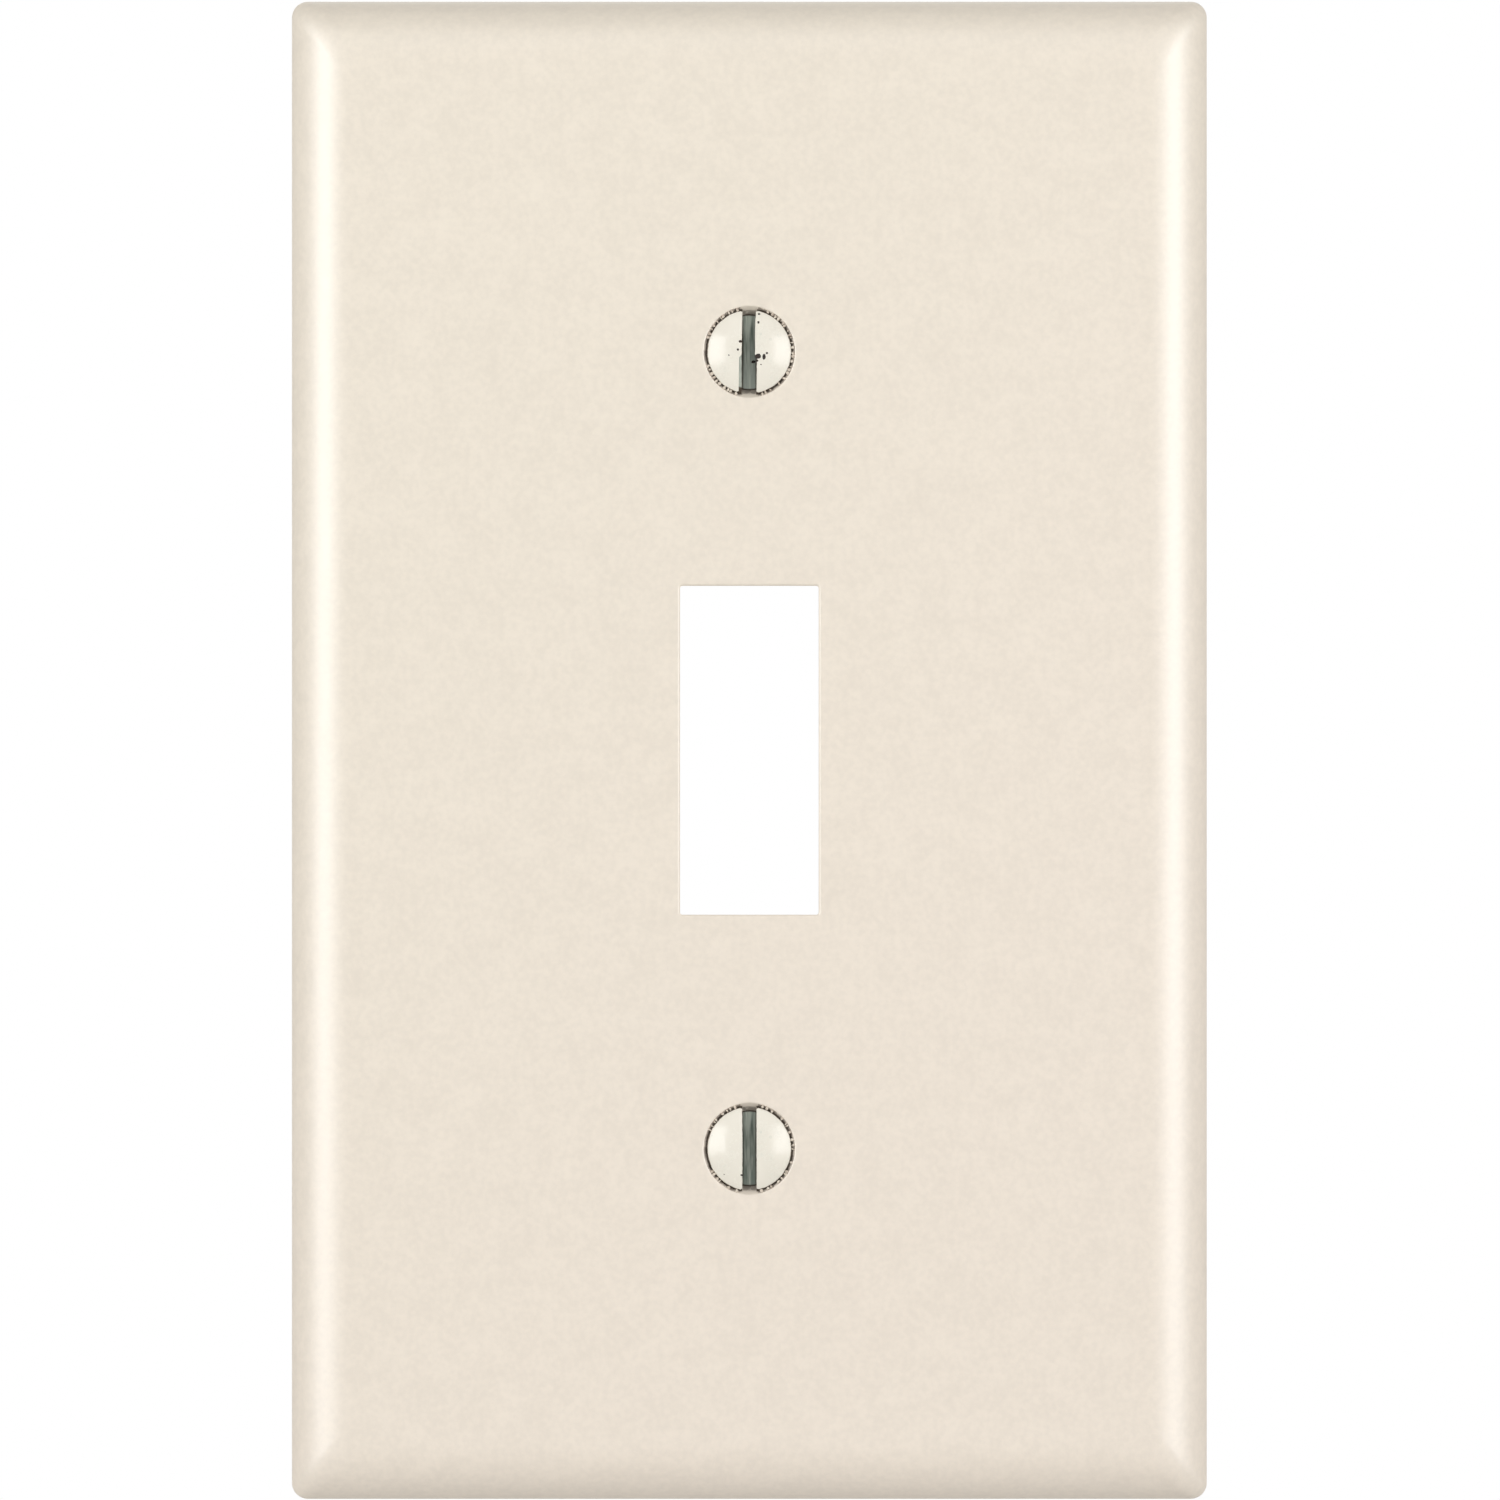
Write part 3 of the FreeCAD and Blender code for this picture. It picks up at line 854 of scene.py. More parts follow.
@dataclass
class WallPlate:
    """The one-piece moulding: rounded face, hollow back, ribs, collar, bosses and holes.

    bay_radii are those of a bay's corner between two ribs, a rib and the rim, and two sides of the rim.
    mark_steps are the depth and growth of each ring of an ejector pin's mark.
    """

    low: Vector
    high: Vector
    holes: list[Plan]
    edge_radius: float = 4.7
    corner_radius: float = 1.2
    face_corner_radius: float = 1.6
    corner_steps: int = 12
    bevel_steps: int = 28
    soft_steps: int = 3
    root_steps: int = 6
    lip_steps: int = 5
    sink_steps: int = 4
    back_soft: float = 0.12
    soft: float = 0.15
    face_thickness: float = 2.1
    rim_thickness: float = 2.1
    strap_clearance: float = 1.6
    rib_thickness: float = 1.3
    spine_offset: float = 13.0
    cross_rib_offset: float = 42.5
    rib_root: float = 0.4
    rim_root: float = 1.4
    bay_radii: tuple[float, float, float] = (0.9, 1.5, 1.8)
    collar: Plan = (13.5, 27.9)
    collar_radius: float = 0.8
    opening: Plan = (10.5, 24.9)
    opening_radius: float = 0.18
    opening_draft: float = 1.5
    lip: float = 0.2
    support: float = 0.3
    boss_radius: float = 4.8
    hole_radius: float = 2.0
    sink_radius: float = 3.5
    sink_half_angle: float = 41.0
    sink_lip: float = 0.09
    mark_radius: float = 2.4
    mark_steps: tuple[Plan, ...] = ((0.0, 0.0), (0.03, -0.02), (0.09, -0.03), (0.12, -0.07))
    mark_corners: int = 40
    mark_column: float = 24.0
    mark_row: float = 34.0
    sharp: float = 40.0

    def __post_init__(self) -> None:
        """Works out the depths that the rings share."""
        self.front = self.low.y
        self.floor = self.front + self.face_thickness
        self.rib_level = self.high.y - self.strap_clearance
        self.width = self.high.x - self.low.x
        self.height = self.high.z - self.low.z

    def outside(self) -> list[Ring]:
        """Makes the rings of the plate's outside.

        Returns:
            The rings from the rim's back edge, round the edges' curve, to the flat face.
        """
        back = arc(self.soft_steps)
        levels = [(self.back_soft * (1 - s), -self.back_soft * (1 - c), 0.0) for c, s in back]
        shoulder = self.front + self.edge_radius
        for turn, (c, s) in enumerate(arc(self.bevel_steps)):
            inset = self.edge_radius * (1 - c)
            levels.append((inset, shoulder - self.edge_radius * s, turn / self.bevel_steps))
        levels.append((self.edge_radius + self.support, self.front, 1.0))
        rings = []
        for inset, depth, share in levels:
            radius = self.corner_radius + (self.face_corner_radius - self.corner_radius) * share
            box = Box.centred(self.width - 2 * inset, self.height - 2 * inset, radius,
                              self.corner_steps)
            rings.append(ring(box.edges(), depth))
        return rings

    def bays(self) -> list[Box]:
        """Divides the hollow into the nine bays between its spines and cross ribs.

        Returns:
            The bays.
        """
        half_rib = self.rib_thickness / 2
        columns = self._spans(self.width / 2 - self.rim_thickness, self.spine_offset, half_rib)
        rows = self._spans(self.height / 2 - self.rim_thickness, self.cross_rib_offset, half_rib)
        result = []
        for left, right, left_rim, right_rim in columns:
            for bottom, top, bottom_rim, top_rim in rows:
                pairs = ((right_rim, top_rim), (left_rim, top_rim), (left_rim, bottom_rim),
                         (right_rim, bottom_rim))
                radii = tuple(self.bay_radii[int(sum(pair))] for pair in pairs)
                rims = (left_rim, right_rim, bottom_rim, top_rim)
                result.append(Box(left, right, bottom, top, radii, rims))
        return result

    def _soft_edge(self) -> list[Plan]:
        """The drop and the growth at each step of a softened edge, from its top."""
        return [(self.soft * (1 - c), self.soft * (1 - s)) for c, s in arc(self.soft_steps)]

    @staticmethod
    def _spans(rim: float, rib: float, half_rib: float) -> list[tuple[float, float, float, float]]:
        """Three spans between the rim and two ribs, each with its two ends' share of rim."""
        outer, inner = rib + half_rib, rib - half_rib
        return [(-rim, -outer, 1.0, 0.0), (-inner, inner, 0.0, 0.0), (outer, rim, 0.0, 1.0)]

    def bay_rings(self, edges: list[Edge]) -> list[Ring]:
        """Makes the rings of one bay.

        Args:
            edges: the bay's outline.

        Returns:
            The rings from the ribs' tops down to the floor.
        """
        rings = [[e.at(self.rib_level - drop, gap * (1 - e.rim)) for e in edges]
                 for drop, gap in self._soft_edge()]
        for c, s in arc(self.root_steps):
            row = []
            for e in edges:
                root = self.rib_root + (self.rim_root - self.rib_root) * e.rim
                row.append(e.at(self.floor + root * (1 - s), -root * (1 - c)))
            rings.append(row)
        return rings

    def island_rings(self, edges: list[Edge]) -> list[Ring]:
        """Makes the rings of a collar or boss.

        Args:
            edges: its outline.

        Returns:
            The rings from its top down to the floor.
        """
        rings = [ring(edges, self.rib_level - drop, -gap) for drop, gap in self._soft_edge()]
        return rings + [ring(edges, self.floor + self.rib_root * (1 - s), self.rib_root * (1 - c))
                        for c, s in arc(self.root_steps)]

    def opening_rings(self) -> list[Ring]:
        """Makes the rings of the toggle's opening.

        Returns:
            The rings from the face's flat to the collar's top.
        """
        edges = Box.centred(*self.opening, self.opening_radius, steps=4).edges()
        draft = math.tan(math.radians(self.opening_draft))
        rings = [ring(edges, self.front, self.lip + self.support)]
        rings += [ring(edges, self.front + self.lip * (1 - c), self.lip * (1 - s))
                  for c, s in arc(self.lip_steps)]
        for drop, gap in self._soft_edge()[::-1]:
            depth = self.rib_level - drop
            rings.append(ring(edges, depth, draft * (depth - self.front) + gap))
        return rings

    def sink_rings(self, centre: Plan) -> list[Ring]:
        """Makes the rings of one countersunk hole.

        Args:
            centre: its middle.

        Returns:
            The rings from the face's flat to the boss's top.
        """
        edges = circle(centre, self.hole_radius)
        slope = math.tan(math.radians(self.sink_half_angle))
        mouth = self.sink_radius - self.hole_radius
        rings = [ring(edges, self.front, mouth + grow)
                 for grow in (self.sink_lip + self.support, self.sink_lip)]
        turn = math.radians(90 - self.sink_half_angle)
        tip = self.sink_lip / math.tan(turn / 2)
        for step in range(1, self.sink_steps + 1):
            angle = turn * step / self.sink_steps
            grow = mouth + self.sink_lip - tip * math.sin(angle)
            rings.append(ring(edges, self.front + tip * (1 - math.cos(angle)), grow))
        last = rings[-1][0]
        last_grow = math.hypot(last.x - centre[0], last.z - centre[1]) - self.hole_radius
        rings.append(ring(edges, last.y + last_grow / slope))
        return rings + [ring(edges, self.rib_level - drop, gap) for drop, gap in self._soft_edge()[::-1]]

    def mark_rings(self, centre: Plan) -> list[Ring]:
        """Makes the rings of one ejector pin's mark, down from the floor."""
        edges = circle(centre, self.mark_radius, self.mark_corners)
        return [ring(edges, self.floor - depth, grow) for depth, grow in self.mark_steps]

    def build(self) -> bpy.types.Object:
        """Makes the whole moulding as one closed mesh.

        Returns:
            The moulding.
        """
        shell = Shell()
        outside = self.outside()
        opening = self.opening_rings()
        sinks = [self.sink_rings(centre) for centre in self.holes]
        for rings in (outside, opening, *sinks):
            shell.bridge(rings)
        shell.fill(outside[-1], [opening[0], *(rings[0] for rings in sinks)])

        bays = [box.edges() for box in self.bays()]
        on_rim = [e for edges in bays for e in edges if e.rim == 1.0]
        on_rim.sort(key=lambda e: math.atan2(e.place[1], e.place[0]))
        wall = [ring(on_rim, self.high.y - drop, gap) for drop, gap in self._soft_edge()]
        wall.append(ring(on_rim, self.rib_level))
        shell.bridge(wall)
        shell.fill(outside[0], [wall[0]])
        bay_rings = [self.bay_rings(edges) for edges in bays]
        shell.fill(wall[-1], [rings[0] for rings in bay_rings])

        collar = self.island_rings(Box.centred(*self.collar, self.collar_radius).edges())
        bosses = [self.island_rings(circle(centre, self.boss_radius)) for centre in self.holes]
        for island, hole in zip((collar, *bosses), (opening, *sinks)):
            shell.bridge(island)
            shell.fill(island[0], [hole[-1]])
        places = [(x * self.mark_column, z * self.mark_row) for x in (-1, 1) for z in (-1, 0, 1)]
        marks = [self.mark_rings(place) for place in places]
        for rings in marks:
            shell.bridge(rings)
            shell.fill(rings[-1], [])
        standing = [rings[-1] for rings in (collar, *bosses)] + [rings[0] for rings in marks]
        for rings in bay_rings:
            shell.bridge(rings)
            floor = rings[-1]
            held = [r for r in standing if inside(Vector((r[0].x, r[0].z)), floor)]
            shell.fill(floor, held)
        return shell.finish("plate_moulding", self.sharp)


# ------------------------------------------------------------------ node trees that make shapes


def apply_nodes(obj: bpy.types.Object, tree: bpy.types.NodeTree, values: dict) -> bpy.types.Object:
    """Runs a geometry node tree on an object and keeps the result as plain mesh.

    Args:
        obj: the object whose mesh goes in.
        tree: the node tree.
        values: the tree's inputs by name.

    Returns:
        The same object.
    """
    modifier = obj.modifiers.new(tree.name, "NODES")
    modifier.node_group = tree
    for item in tree.interface.items_tree:
        if item.item_type == "SOCKET" and item.in_out == "INPUT" and item.name in values:
            modifier[item.identifier] = values[item.name]
    return bake_modifiers(obj)


def points_object(name: str, points: list[Vector], sizes: list[Vector] | None = None
                  ) -> bpy.types.Object:
    """Makes an object of loose corners.

    Args:
        name: the object's name.
        points: the corners, in millimetres.
        sizes: a size for each, in millimetres.

    Returns:
        The object.
    """
    data = bpy.data.meshes.new(name)
    data.from_pydata([p * MM for p in points], [], [])
    if sizes:
        layer = data.attributes.new("size", "FLOAT_VECTOR", "POINT")
        for item, size in zip(layer.data, sizes):
            item.vector = size * MM
    return link(name, data)


THREAD_HALF_ANGLE = 30.0  # degrees, of the thread's flanks
SEAM = 5e-7  # metres, under which a turned profile's ends are the same place
RAGGED_WAYS = (1.0, 1.0, 0.3)  # how much of a flake's raggedness is across, along and out of a screw


def turned_screw_tree() -> bpy.types.NodeTree:
    """Makes a tree that turns a profile about Z, cuts a right-hand thread in it and saws its slot.

    Returns:
        The tree.
    """
    group = Group("turned_screw", "GeometryNodeTree", {
        "Geometry": (GEOMETRY, None), "Segments": (INTEGER, 96), "Pitch": (FLOAT, 0.0008),
        "Root Radius": (FLOAT, 0.0013), "Thread Depth": (FLOAT, 0.00045), "Root Flat": (FLOAT, 0.0001),
        "Thread Top": (FLOAT, -0.0034), "Slot Size": (VECTOR, (0.0011, 0.01, 0.004)),
        "Slot Floor": (FLOAT, -0.0006), "Material": (MATERIAL, None),
    }, "Geometry", GEOMETRY)
    given, math_node = group.given, group.math
    size = group.add("GeometryNodeAttributeDomainSize", {"Geometry": given["Geometry"]})
    columns = math_node("ADD", given["Segments"], 1.0)
    counts = {"Vertices X": size.outputs["Point Count"], "Vertices Y": columns}
    grid = group.add("GeometryNodeMeshGrid", counts)
    index = group.add("GeometryNodeInputIndex").outputs[0]
    row = math_node("FLOOR", math_node("DIVIDE", math_node("ADD", index, 0.5), columns))
    column = math_node("SUBTRACT", index, math_node("MULTIPLY", row, columns))
    place = group.add("GeometryNodeInputPosition").outputs[0]
    lookup = {"Geometry": given["Geometry"], "Value": place, "Index": row}
    sample = group.add("GeometryNodeSampleIndex", lookup, data_type="FLOAT_VECTOR")
    out, _, up = group.parts(sample.outputs[0])
    turn = math_node("DIVIDE", column, given["Segments"])
    angle = math_node("MULTIPLY", turn, math.tau)
    climb = math_node("SUBTRACT", math_node("DIVIDE", up, given["Pitch"]), turn)
    aside = math_node("ABSOLUTE", math_node("SUBTRACT", math_node("FRACT", climb), 0.5))
    half_flat = math_node("MULTIPLY", given["Root Flat"], 0.5)
    along = math_node("SUBTRACT", math_node("MULTIPLY", aside, given["Pitch"]), half_flat)
    rise = math_node("DIVIDE", along, math.tan(math.radians(THREAD_HALF_ANGLE)))
    rise = math_node("MINIMUM", math_node("MAXIMUM", rise, 0.0), given["Thread Depth"])
    cut = math_node("MINIMUM", out, math_node("ADD", given["Root Radius"], rise))
    threaded = math_node("LESS_THAN", up, given["Thread Top"])
    radius = group.add("ShaderNodeMix", {0: threaded, 2: out, 3: cut}).outputs[0]
    x, y = (math_node("MULTIPLY", radius, math_node(wave, angle)) for wave in ("COSINE", "SINE"))
    wired = {"Geometry": grid.outputs["Mesh"], "Position": group.joined(x, y, up)}
    bent = group.add("GeometryNodeSetPosition", wired)
    closed = group.add("GeometryNodeMergeByDistance", {"Geometry": bent.outputs[0], "Distance": SEAM})
    solid = group.add("GeometryNodeFlipFaces", {"Mesh": closed.outputs[0]})
    saw = group.add("GeometryNodeMeshCube", {"Size": given["Slot Size"]})
    half_height = math_node("MULTIPLY", group.parts(given["Slot Size"])[2], 0.5)
    middle = group.joined(0.0, 0.0, math_node("ADD", given["Slot Floor"], half_height))
    wired = {"Geometry": saw.outputs["Mesh"], "Translation": middle}
    moved = group.add("GeometryNodeTransform", wired)
    wired = {"Mesh 1": solid.outputs[0], "Mesh 2": moved.outputs[0]}
    sawn = group.add("GeometryNodeMeshBoolean", wired, operation="DIFFERENCE", solver="EXACT")
    real = group.add("GeometryNodeRealizeInstances", {"Geometry": sawn.outputs[0]})
    return group.give_painted(real.outputs[0])


def flakes_tree() -> bpy.types.NodeTree:
    """Makes a tree that sets one ragged flat flake on every point, square to a sphere.

    Returns:
        The tree.
    """
    group = Group("flakes", "GeometryNodeTree", {
        "Geometry": (GEOMETRY, None), "Sphere Centre": (VECTOR, (0, 0, 0)), "Raggedness": (FLOAT, 0.00003),
        "Grain": (FLOAT, 9000.0), "Seed": (FLOAT, 3.0), "Radial": (FLOAT, 0.0),
        "Material": (MATERIAL, None),
    }, "Geometry", GEOMETRY)
    given = group.given
    place = group.add("GeometryNodeInputPosition").outputs[0]
    outward = group.vector("SUBTRACT", place, given["Sphere Centre"])
    upright = group.add("FunctionNodeAlignEulerToVector", {"Vector": outward}, axis="Z")
    turning = {"Rotation": upright.outputs[0], "Factor": given["Radial"], "Vector": place}
    facing = group.add("FunctionNodeAlignEulerToVector", turning, axis="X", pivot_axis="Z")
    size = group.add("GeometryNodeInputNamedAttribute", {"Name": "size"}, data_type="FLOAT_VECTOR")
    flake = group.add("GeometryNodeMeshIcoSphere", {"Radius": 1.0, "Subdivisions": 3})
    cloud = group.add("GeometryNodeMeshToPoints", {"Mesh": given["Geometry"]})
    wired = {"Points": cloud.outputs[0], "Instance": flake.outputs[0], "Rotation": facing.outputs[0],
             "Scale": size.outputs[0]}
    placed = group.add("GeometryNodeInstanceOnPoints", wired)
    real = group.add("GeometryNodeRealizeInstances", {"Geometry": placed.outputs[0]})
    wired = {"Vector": place, "W": given["Seed"], "Scale": given["Grain"], "Detail": 2.0}
    rough = group.add("ShaderNodeTexNoise", wired, noise_dimensions="4D").outputs["Color"]
    centred = group.vector("SUBTRACT", rough, (0.5, 0.5, 0.5))
    flat = group.vector("MULTIPLY", centred, RAGGED_WAYS)
    reach = group.math("MULTIPLY", given["Raggedness"], 2.0)
    pushed = group.add("ShaderNodeVectorMath", {0: flat, "Scale": reach}, operation="SCALE")
    wired = {"Geometry": real.outputs[0], "Offset": pushed.outputs[0]}
    return group.give_painted(group.add("GeometryNodeSetPosition", wired).outputs[0])


# ------------------------------------------------------------------ the screws


@dataclass(frozen=True)
class ScrewSizes:
    """A number 6 oval-head screw, with Z out of its head and its head's edge plane on Z = 0."""

    head_radius: float = 3.275
    edge_band: float = 0.15
    crown: float = 1.0
    cone_half_angle: float = 41.0
    root_radius: float = 1.30
    crest_radius: float = 1.7525
    neck: float = 1.0
    pitch: float = 0.79375
    length: float = 12.7
    tip_chamfer: float = 0.35
    slot_width: float = 1.10
    slot_depth: float = 1.6
    paint: float = 0.055
    edge_gap: float = 0.012
    segments: int = 96
    crown_steps: int = 28
    rows_per_turn: int = 16

    @property
    def dome_radius(self) -> float:
        """The crown's sphere, over the paint."""
        return (self.head_radius ** 2 + self.crown ** 2) / (2 * self.crown)

    @property
    def neck_top(self) -> float:
        """The height where the head's cone ends."""
        cone = (self.head_radius - self.root_radius) / math.tan(math.radians(self.cone_half_angle))
        return -self.edge_band - cone

    @property
    def thread_top(self) -> float:
        """The height where the thread starts."""
        return self.neck_top - self.neck

    @property
    def slot_floor(self) -> float:
        """The height of the slot's floor."""
        return self.crown - self.slot_depth

    def dome(self, radius: float, below: float = 0.0) -> float:
        """The crown's height at a radius, or that of a like sphere some way below it."""
        sphere = self.dome_radius - below
        return math.sqrt(sphere ** 2 - min(radius, sphere) ** 2) + self.crown - self.dome_radius

    def profile(self) -> list[Vector]:
        """Draws the metal's half outline from the crown's middle to the tip's.

        Returns:
            The corners, with the radius as X and the height as Z.
        """
        edge, steps = self.head_radius - self.edge_gap, self.crown_steps
        points = [(edge * n / steps, self.dome(edge * n / steps, self.paint)) for n in range(steps)]
        points += [(edge - 0.01, self.dome(edge, self.paint) + 0.005), (edge, -0.02)]
        points += [(edge, -self.edge_band + 0.01), (edge - 0.01, -self.edge_band - 0.012)]
        fillet = ((0.06, 0.07), (0.02, 0.01), (0.0, -0.06))
        points += [(self.root_radius + out, self.neck_top + up) for out, up in fillet]
        thread_top = self.thread_top
        points.append((self.root_radius, thread_top))
        rows = round((self.length + thread_top) / self.pitch * self.rows_per_turn)
        for n in range(1, rows + 1):
            height = thread_top + (-self.length - thread_top) * n / rows
            radius = min(self.crest_radius, self.root_radius + thread_top - height)
            radius = min(radius, self.crest_radius - self.tip_chamfer + height + self.length)
            points.append((radius, height))
        points.append((0.0, -self.length))
        return [Vector((radius, 0.0, height)) for radius, height in points]


@dataclass(frozen=True)
class PaintEdge:
    """Where one half of the crown's paint ends at the slot: distance from the axis by height."""

    stations: tuple[tuple[float, float], ...]

    def reach(self, height: float) -> float:
        """Finds how far from the screw's axis the paint ends.

        Args:
            height: the height along the slot.

        Returns:
            The distance, eased from each station to the next.
        """
        points = self.stations
        if height <= points[0][0]:
            return points[0][1]
        for (z0, x0), (z1, x1) in zip(points, points[1:]):
            if height <= z1:
                share = (height - z0) / (z1 - z0)
                return x0 + (x1 - x0) * share * share * (3 - 2 * share)
        return points[-1][1]


@dataclass(frozen=True)
class Wave:
    """One layer of smooth noise: its height in millimetres, its scale, and a row of its own."""

    height: float
    scale: float
    row: float

    def along(self, run: float, seed: float) -> float:
        """The layer's height some way along an edge."""
        return self.height * noise.noise((run * self.scale, seed, self.row))

    def over(self, place: Vector, seed: float) -> float:
        """The layer's height at a place in plan."""
        return self.height * noise.noise((*(place * self.scale), seed + self.row))


@dataclass(frozen=True)
class PaintCap:
    """One half of the paint on a crown, between the slot and the head's edge."""

    sizes: ScrewSizes
    sign: int
    edge: PaintEdge
    seed: float
    rim: float = 3.16
    side_waves: tuple[Wave, Wave] = (Wave(0.018, 3.1, 0.0), Wave(0.0072, 11.0, 4.0))
    rim_waves: tuple[Wave, Wave] = (Wave(0.0252, 5.0, 9.0), Wave(0.018, 21.0, 13.0))
    top_waves: tuple[Wave, Wave] = (Wave(0.006, 0.9, 2.0), Wave(0.003, 3.0, 5.0))
    top_drop: float = 0.0076
    dome_drop: float = 0.003
    skirt: float = 0.03
    skirt_slope: float = 3.5
    border: float = 0.055
    border_steps: int = 4
    corner_cut: float = 0.10
    corner_out: float = 0.07
    corner_down: float = 0.06
    spacing: float = 0.17
    side_steps: int = 84
    rim_steps: int = 120
    overhang: float = 0.12
    flat_radius: float = 0.56

    def outline(self) -> list[Vector]:
        """Draws the half's outline in plan, counter-clockwise for the right half.

        Returns:
            The corners: down the slot's side, then round the rim.
        """
        top, low = (math.sqrt(self.rim ** 2 - self.edge.reach(end) ** 2) - self.corner_cut
                    for end in (self.rim, -self.rim))
        points = []
        for n in range(self.side_steps + 1):
            z = top - (top + low) * n / self.side_steps
            rag = sum(wave.along(z, self.seed) for wave in self.side_waves)
            points.append(Vector((self.edge.reach(z) + rag, z)))
        start = math.atan2(-low - self.corner_down, self.edge.reach(-self.rim) + self.corner_out)
        end = math.atan2(top + self.corner_down, self.edge.reach(self.rim) + self.corner_out)
        for n in range(1, self.rim_steps):
            angle = start + (end - start) * n / self.rim_steps
            radius = self.rim + sum(wave.along(angle, self.seed) for wave in self.rim_waves)
            points.append(Vector((radius * math.cos(angle), radius * math.sin(angle))))
        return points

    @staticmethod
    def _moved(points: list[Vector], inset: float) -> list[Vector]:
        """Moves an outline inwards, square to its own run.

        Args:
            points: the outline.
            inset: how far.

        Returns:
            The moved outline.
        """
        moved = []
        for n, here in enumerate(points):
            run = points[(n + 1) % len(points)] - points[n - 1]
            moved.append(here + Vector((-run.y, run.x)).normalized() * inset)
        return moved

    def _height(self, place: Vector, below: float) -> float:
        """Finds the height of the paint's uneven top.

        Args:
            place: the place in plan.
            below: how far below the top.

        Returns:
            The height.
        """
        top = min(self.sizes.dome(place.length) - self.dome_drop, self.sizes.dome(self.flat_radius))
        return top + sum(wave.over(place, self.seed) for wave in self.top_waves) - self.top_drop - below

    def _skirt(self, place: Vector) -> float:
        """How far the paint's side reaches down: deeper where it hangs over the slot."""
        over = max(0.0, self.sizes.slot_width / 2 - place.x)
        return self.sizes.paint + self.skirt + self.skirt_slope * min(over, self.overhang)

    def build(self, mesh: bmesh.types.BMesh) -> None:
        """Adds the half to a mesh.

        Args:
            mesh: the mesh, in the screw's own axes.
        """
        outline = self.outline()
        rows = [[Vector((p.x, p.y, self._height(p, self._skirt(p)))) for p in outline]]
        rows += [[Vector((p.x, p.y, self._height(p, self.border * (1 - s))))
                  for p in self._moved(outline, self.border * (1 - c))]
                 for c, s in arc(self.border_steps)]
        flip = Matrix.Scale(self.sign, 3, Vector((1, 0, 0)))
        bridge(mesh, [[flip @ p for p in row] for row in rows])
        inner = self._moved(outline, self.border)
        lattice = self._lattice(inner)
        for border, below in ((inner, 0.0), ([Vector(p[:2]) for p in rows[0]], None)):
            sides = [(n, (n + 1) % len(border)) for n in range(len(border))]
            places, _, faces, *_ = delaunay_2d_cdt(border + lattice, sides, [], 1, SAME_PLACE)
            corners = {}
            for face in faces:
                for n in face:
                    if n not in corners:
                        down = self._skirt(places[n]) if below is None else below
                        top = Vector((places[n].x, places[n].y, self._height(places[n], down)))
                        corners[n] = mesh.verts.new(flip @ top * MM)
                mesh.faces.new([corners[n] for n in face])

    def _lattice(self, border: list[Vector]) -> list[Vector]:
        """Lays points in a staggered lattice inside a border.

        Args:
            border: the border.

        Returns:
            The points that aren't too close to the border.
        """
        loop = [Vector((p.x, 0.0, p.y)) for p in border]
        steps = int(2 * self.rim / self.spacing) + 1
        lattice = []
        for i in range(steps):
            for j in range(steps):
                x = (i + 0.5 * (j % 2)) * self.spacing
                point = Vector((x, -self.rim + j * self.spacing * 0.9))
                near = min((point - p).length for p in border)
                if near > self.spacing * 0.5 and inside(point, loop):
                    lattice.append(point)
        return lattice


@dataclass(frozen=True)
class Chip:
    """A dark flake: its place from the axis, its size, and whether it lies in the slot."""

    place: Plan
    size: Plan
    in_slot: bool = False


@dataclass(frozen=True)
class ChipSizes:
    """What every chip shares: its depth, half thickness, width for its size, and raggedness."""

    depth: float = 0.022
    half_thickness: float = 0.024
    scale: float = 0.58
    raggedness: float = 0.05
    grain: float = 9000.0


@dataclass(frozen=True)
class GapPaint:
    """Crumbs of paint in the gap between a head and its countersink."""

    clear_middle: float
    clear_half: float
    count: int = 60
    share: float = 0.9
    jitter: float = 0.3
    radius: float = 3.315
    scatter: Plan = (-0.02, 0.03)
    width: Plan = (0.05, 0.13)
    length: Plan = (0.10, 0.17)
    height: Plan = (0.01, 0.05)
    half_thickness: float = 0.07
    slot_clearance: float = 0.75
    raggedness: float = 0.10
    grain: float = 6000.0


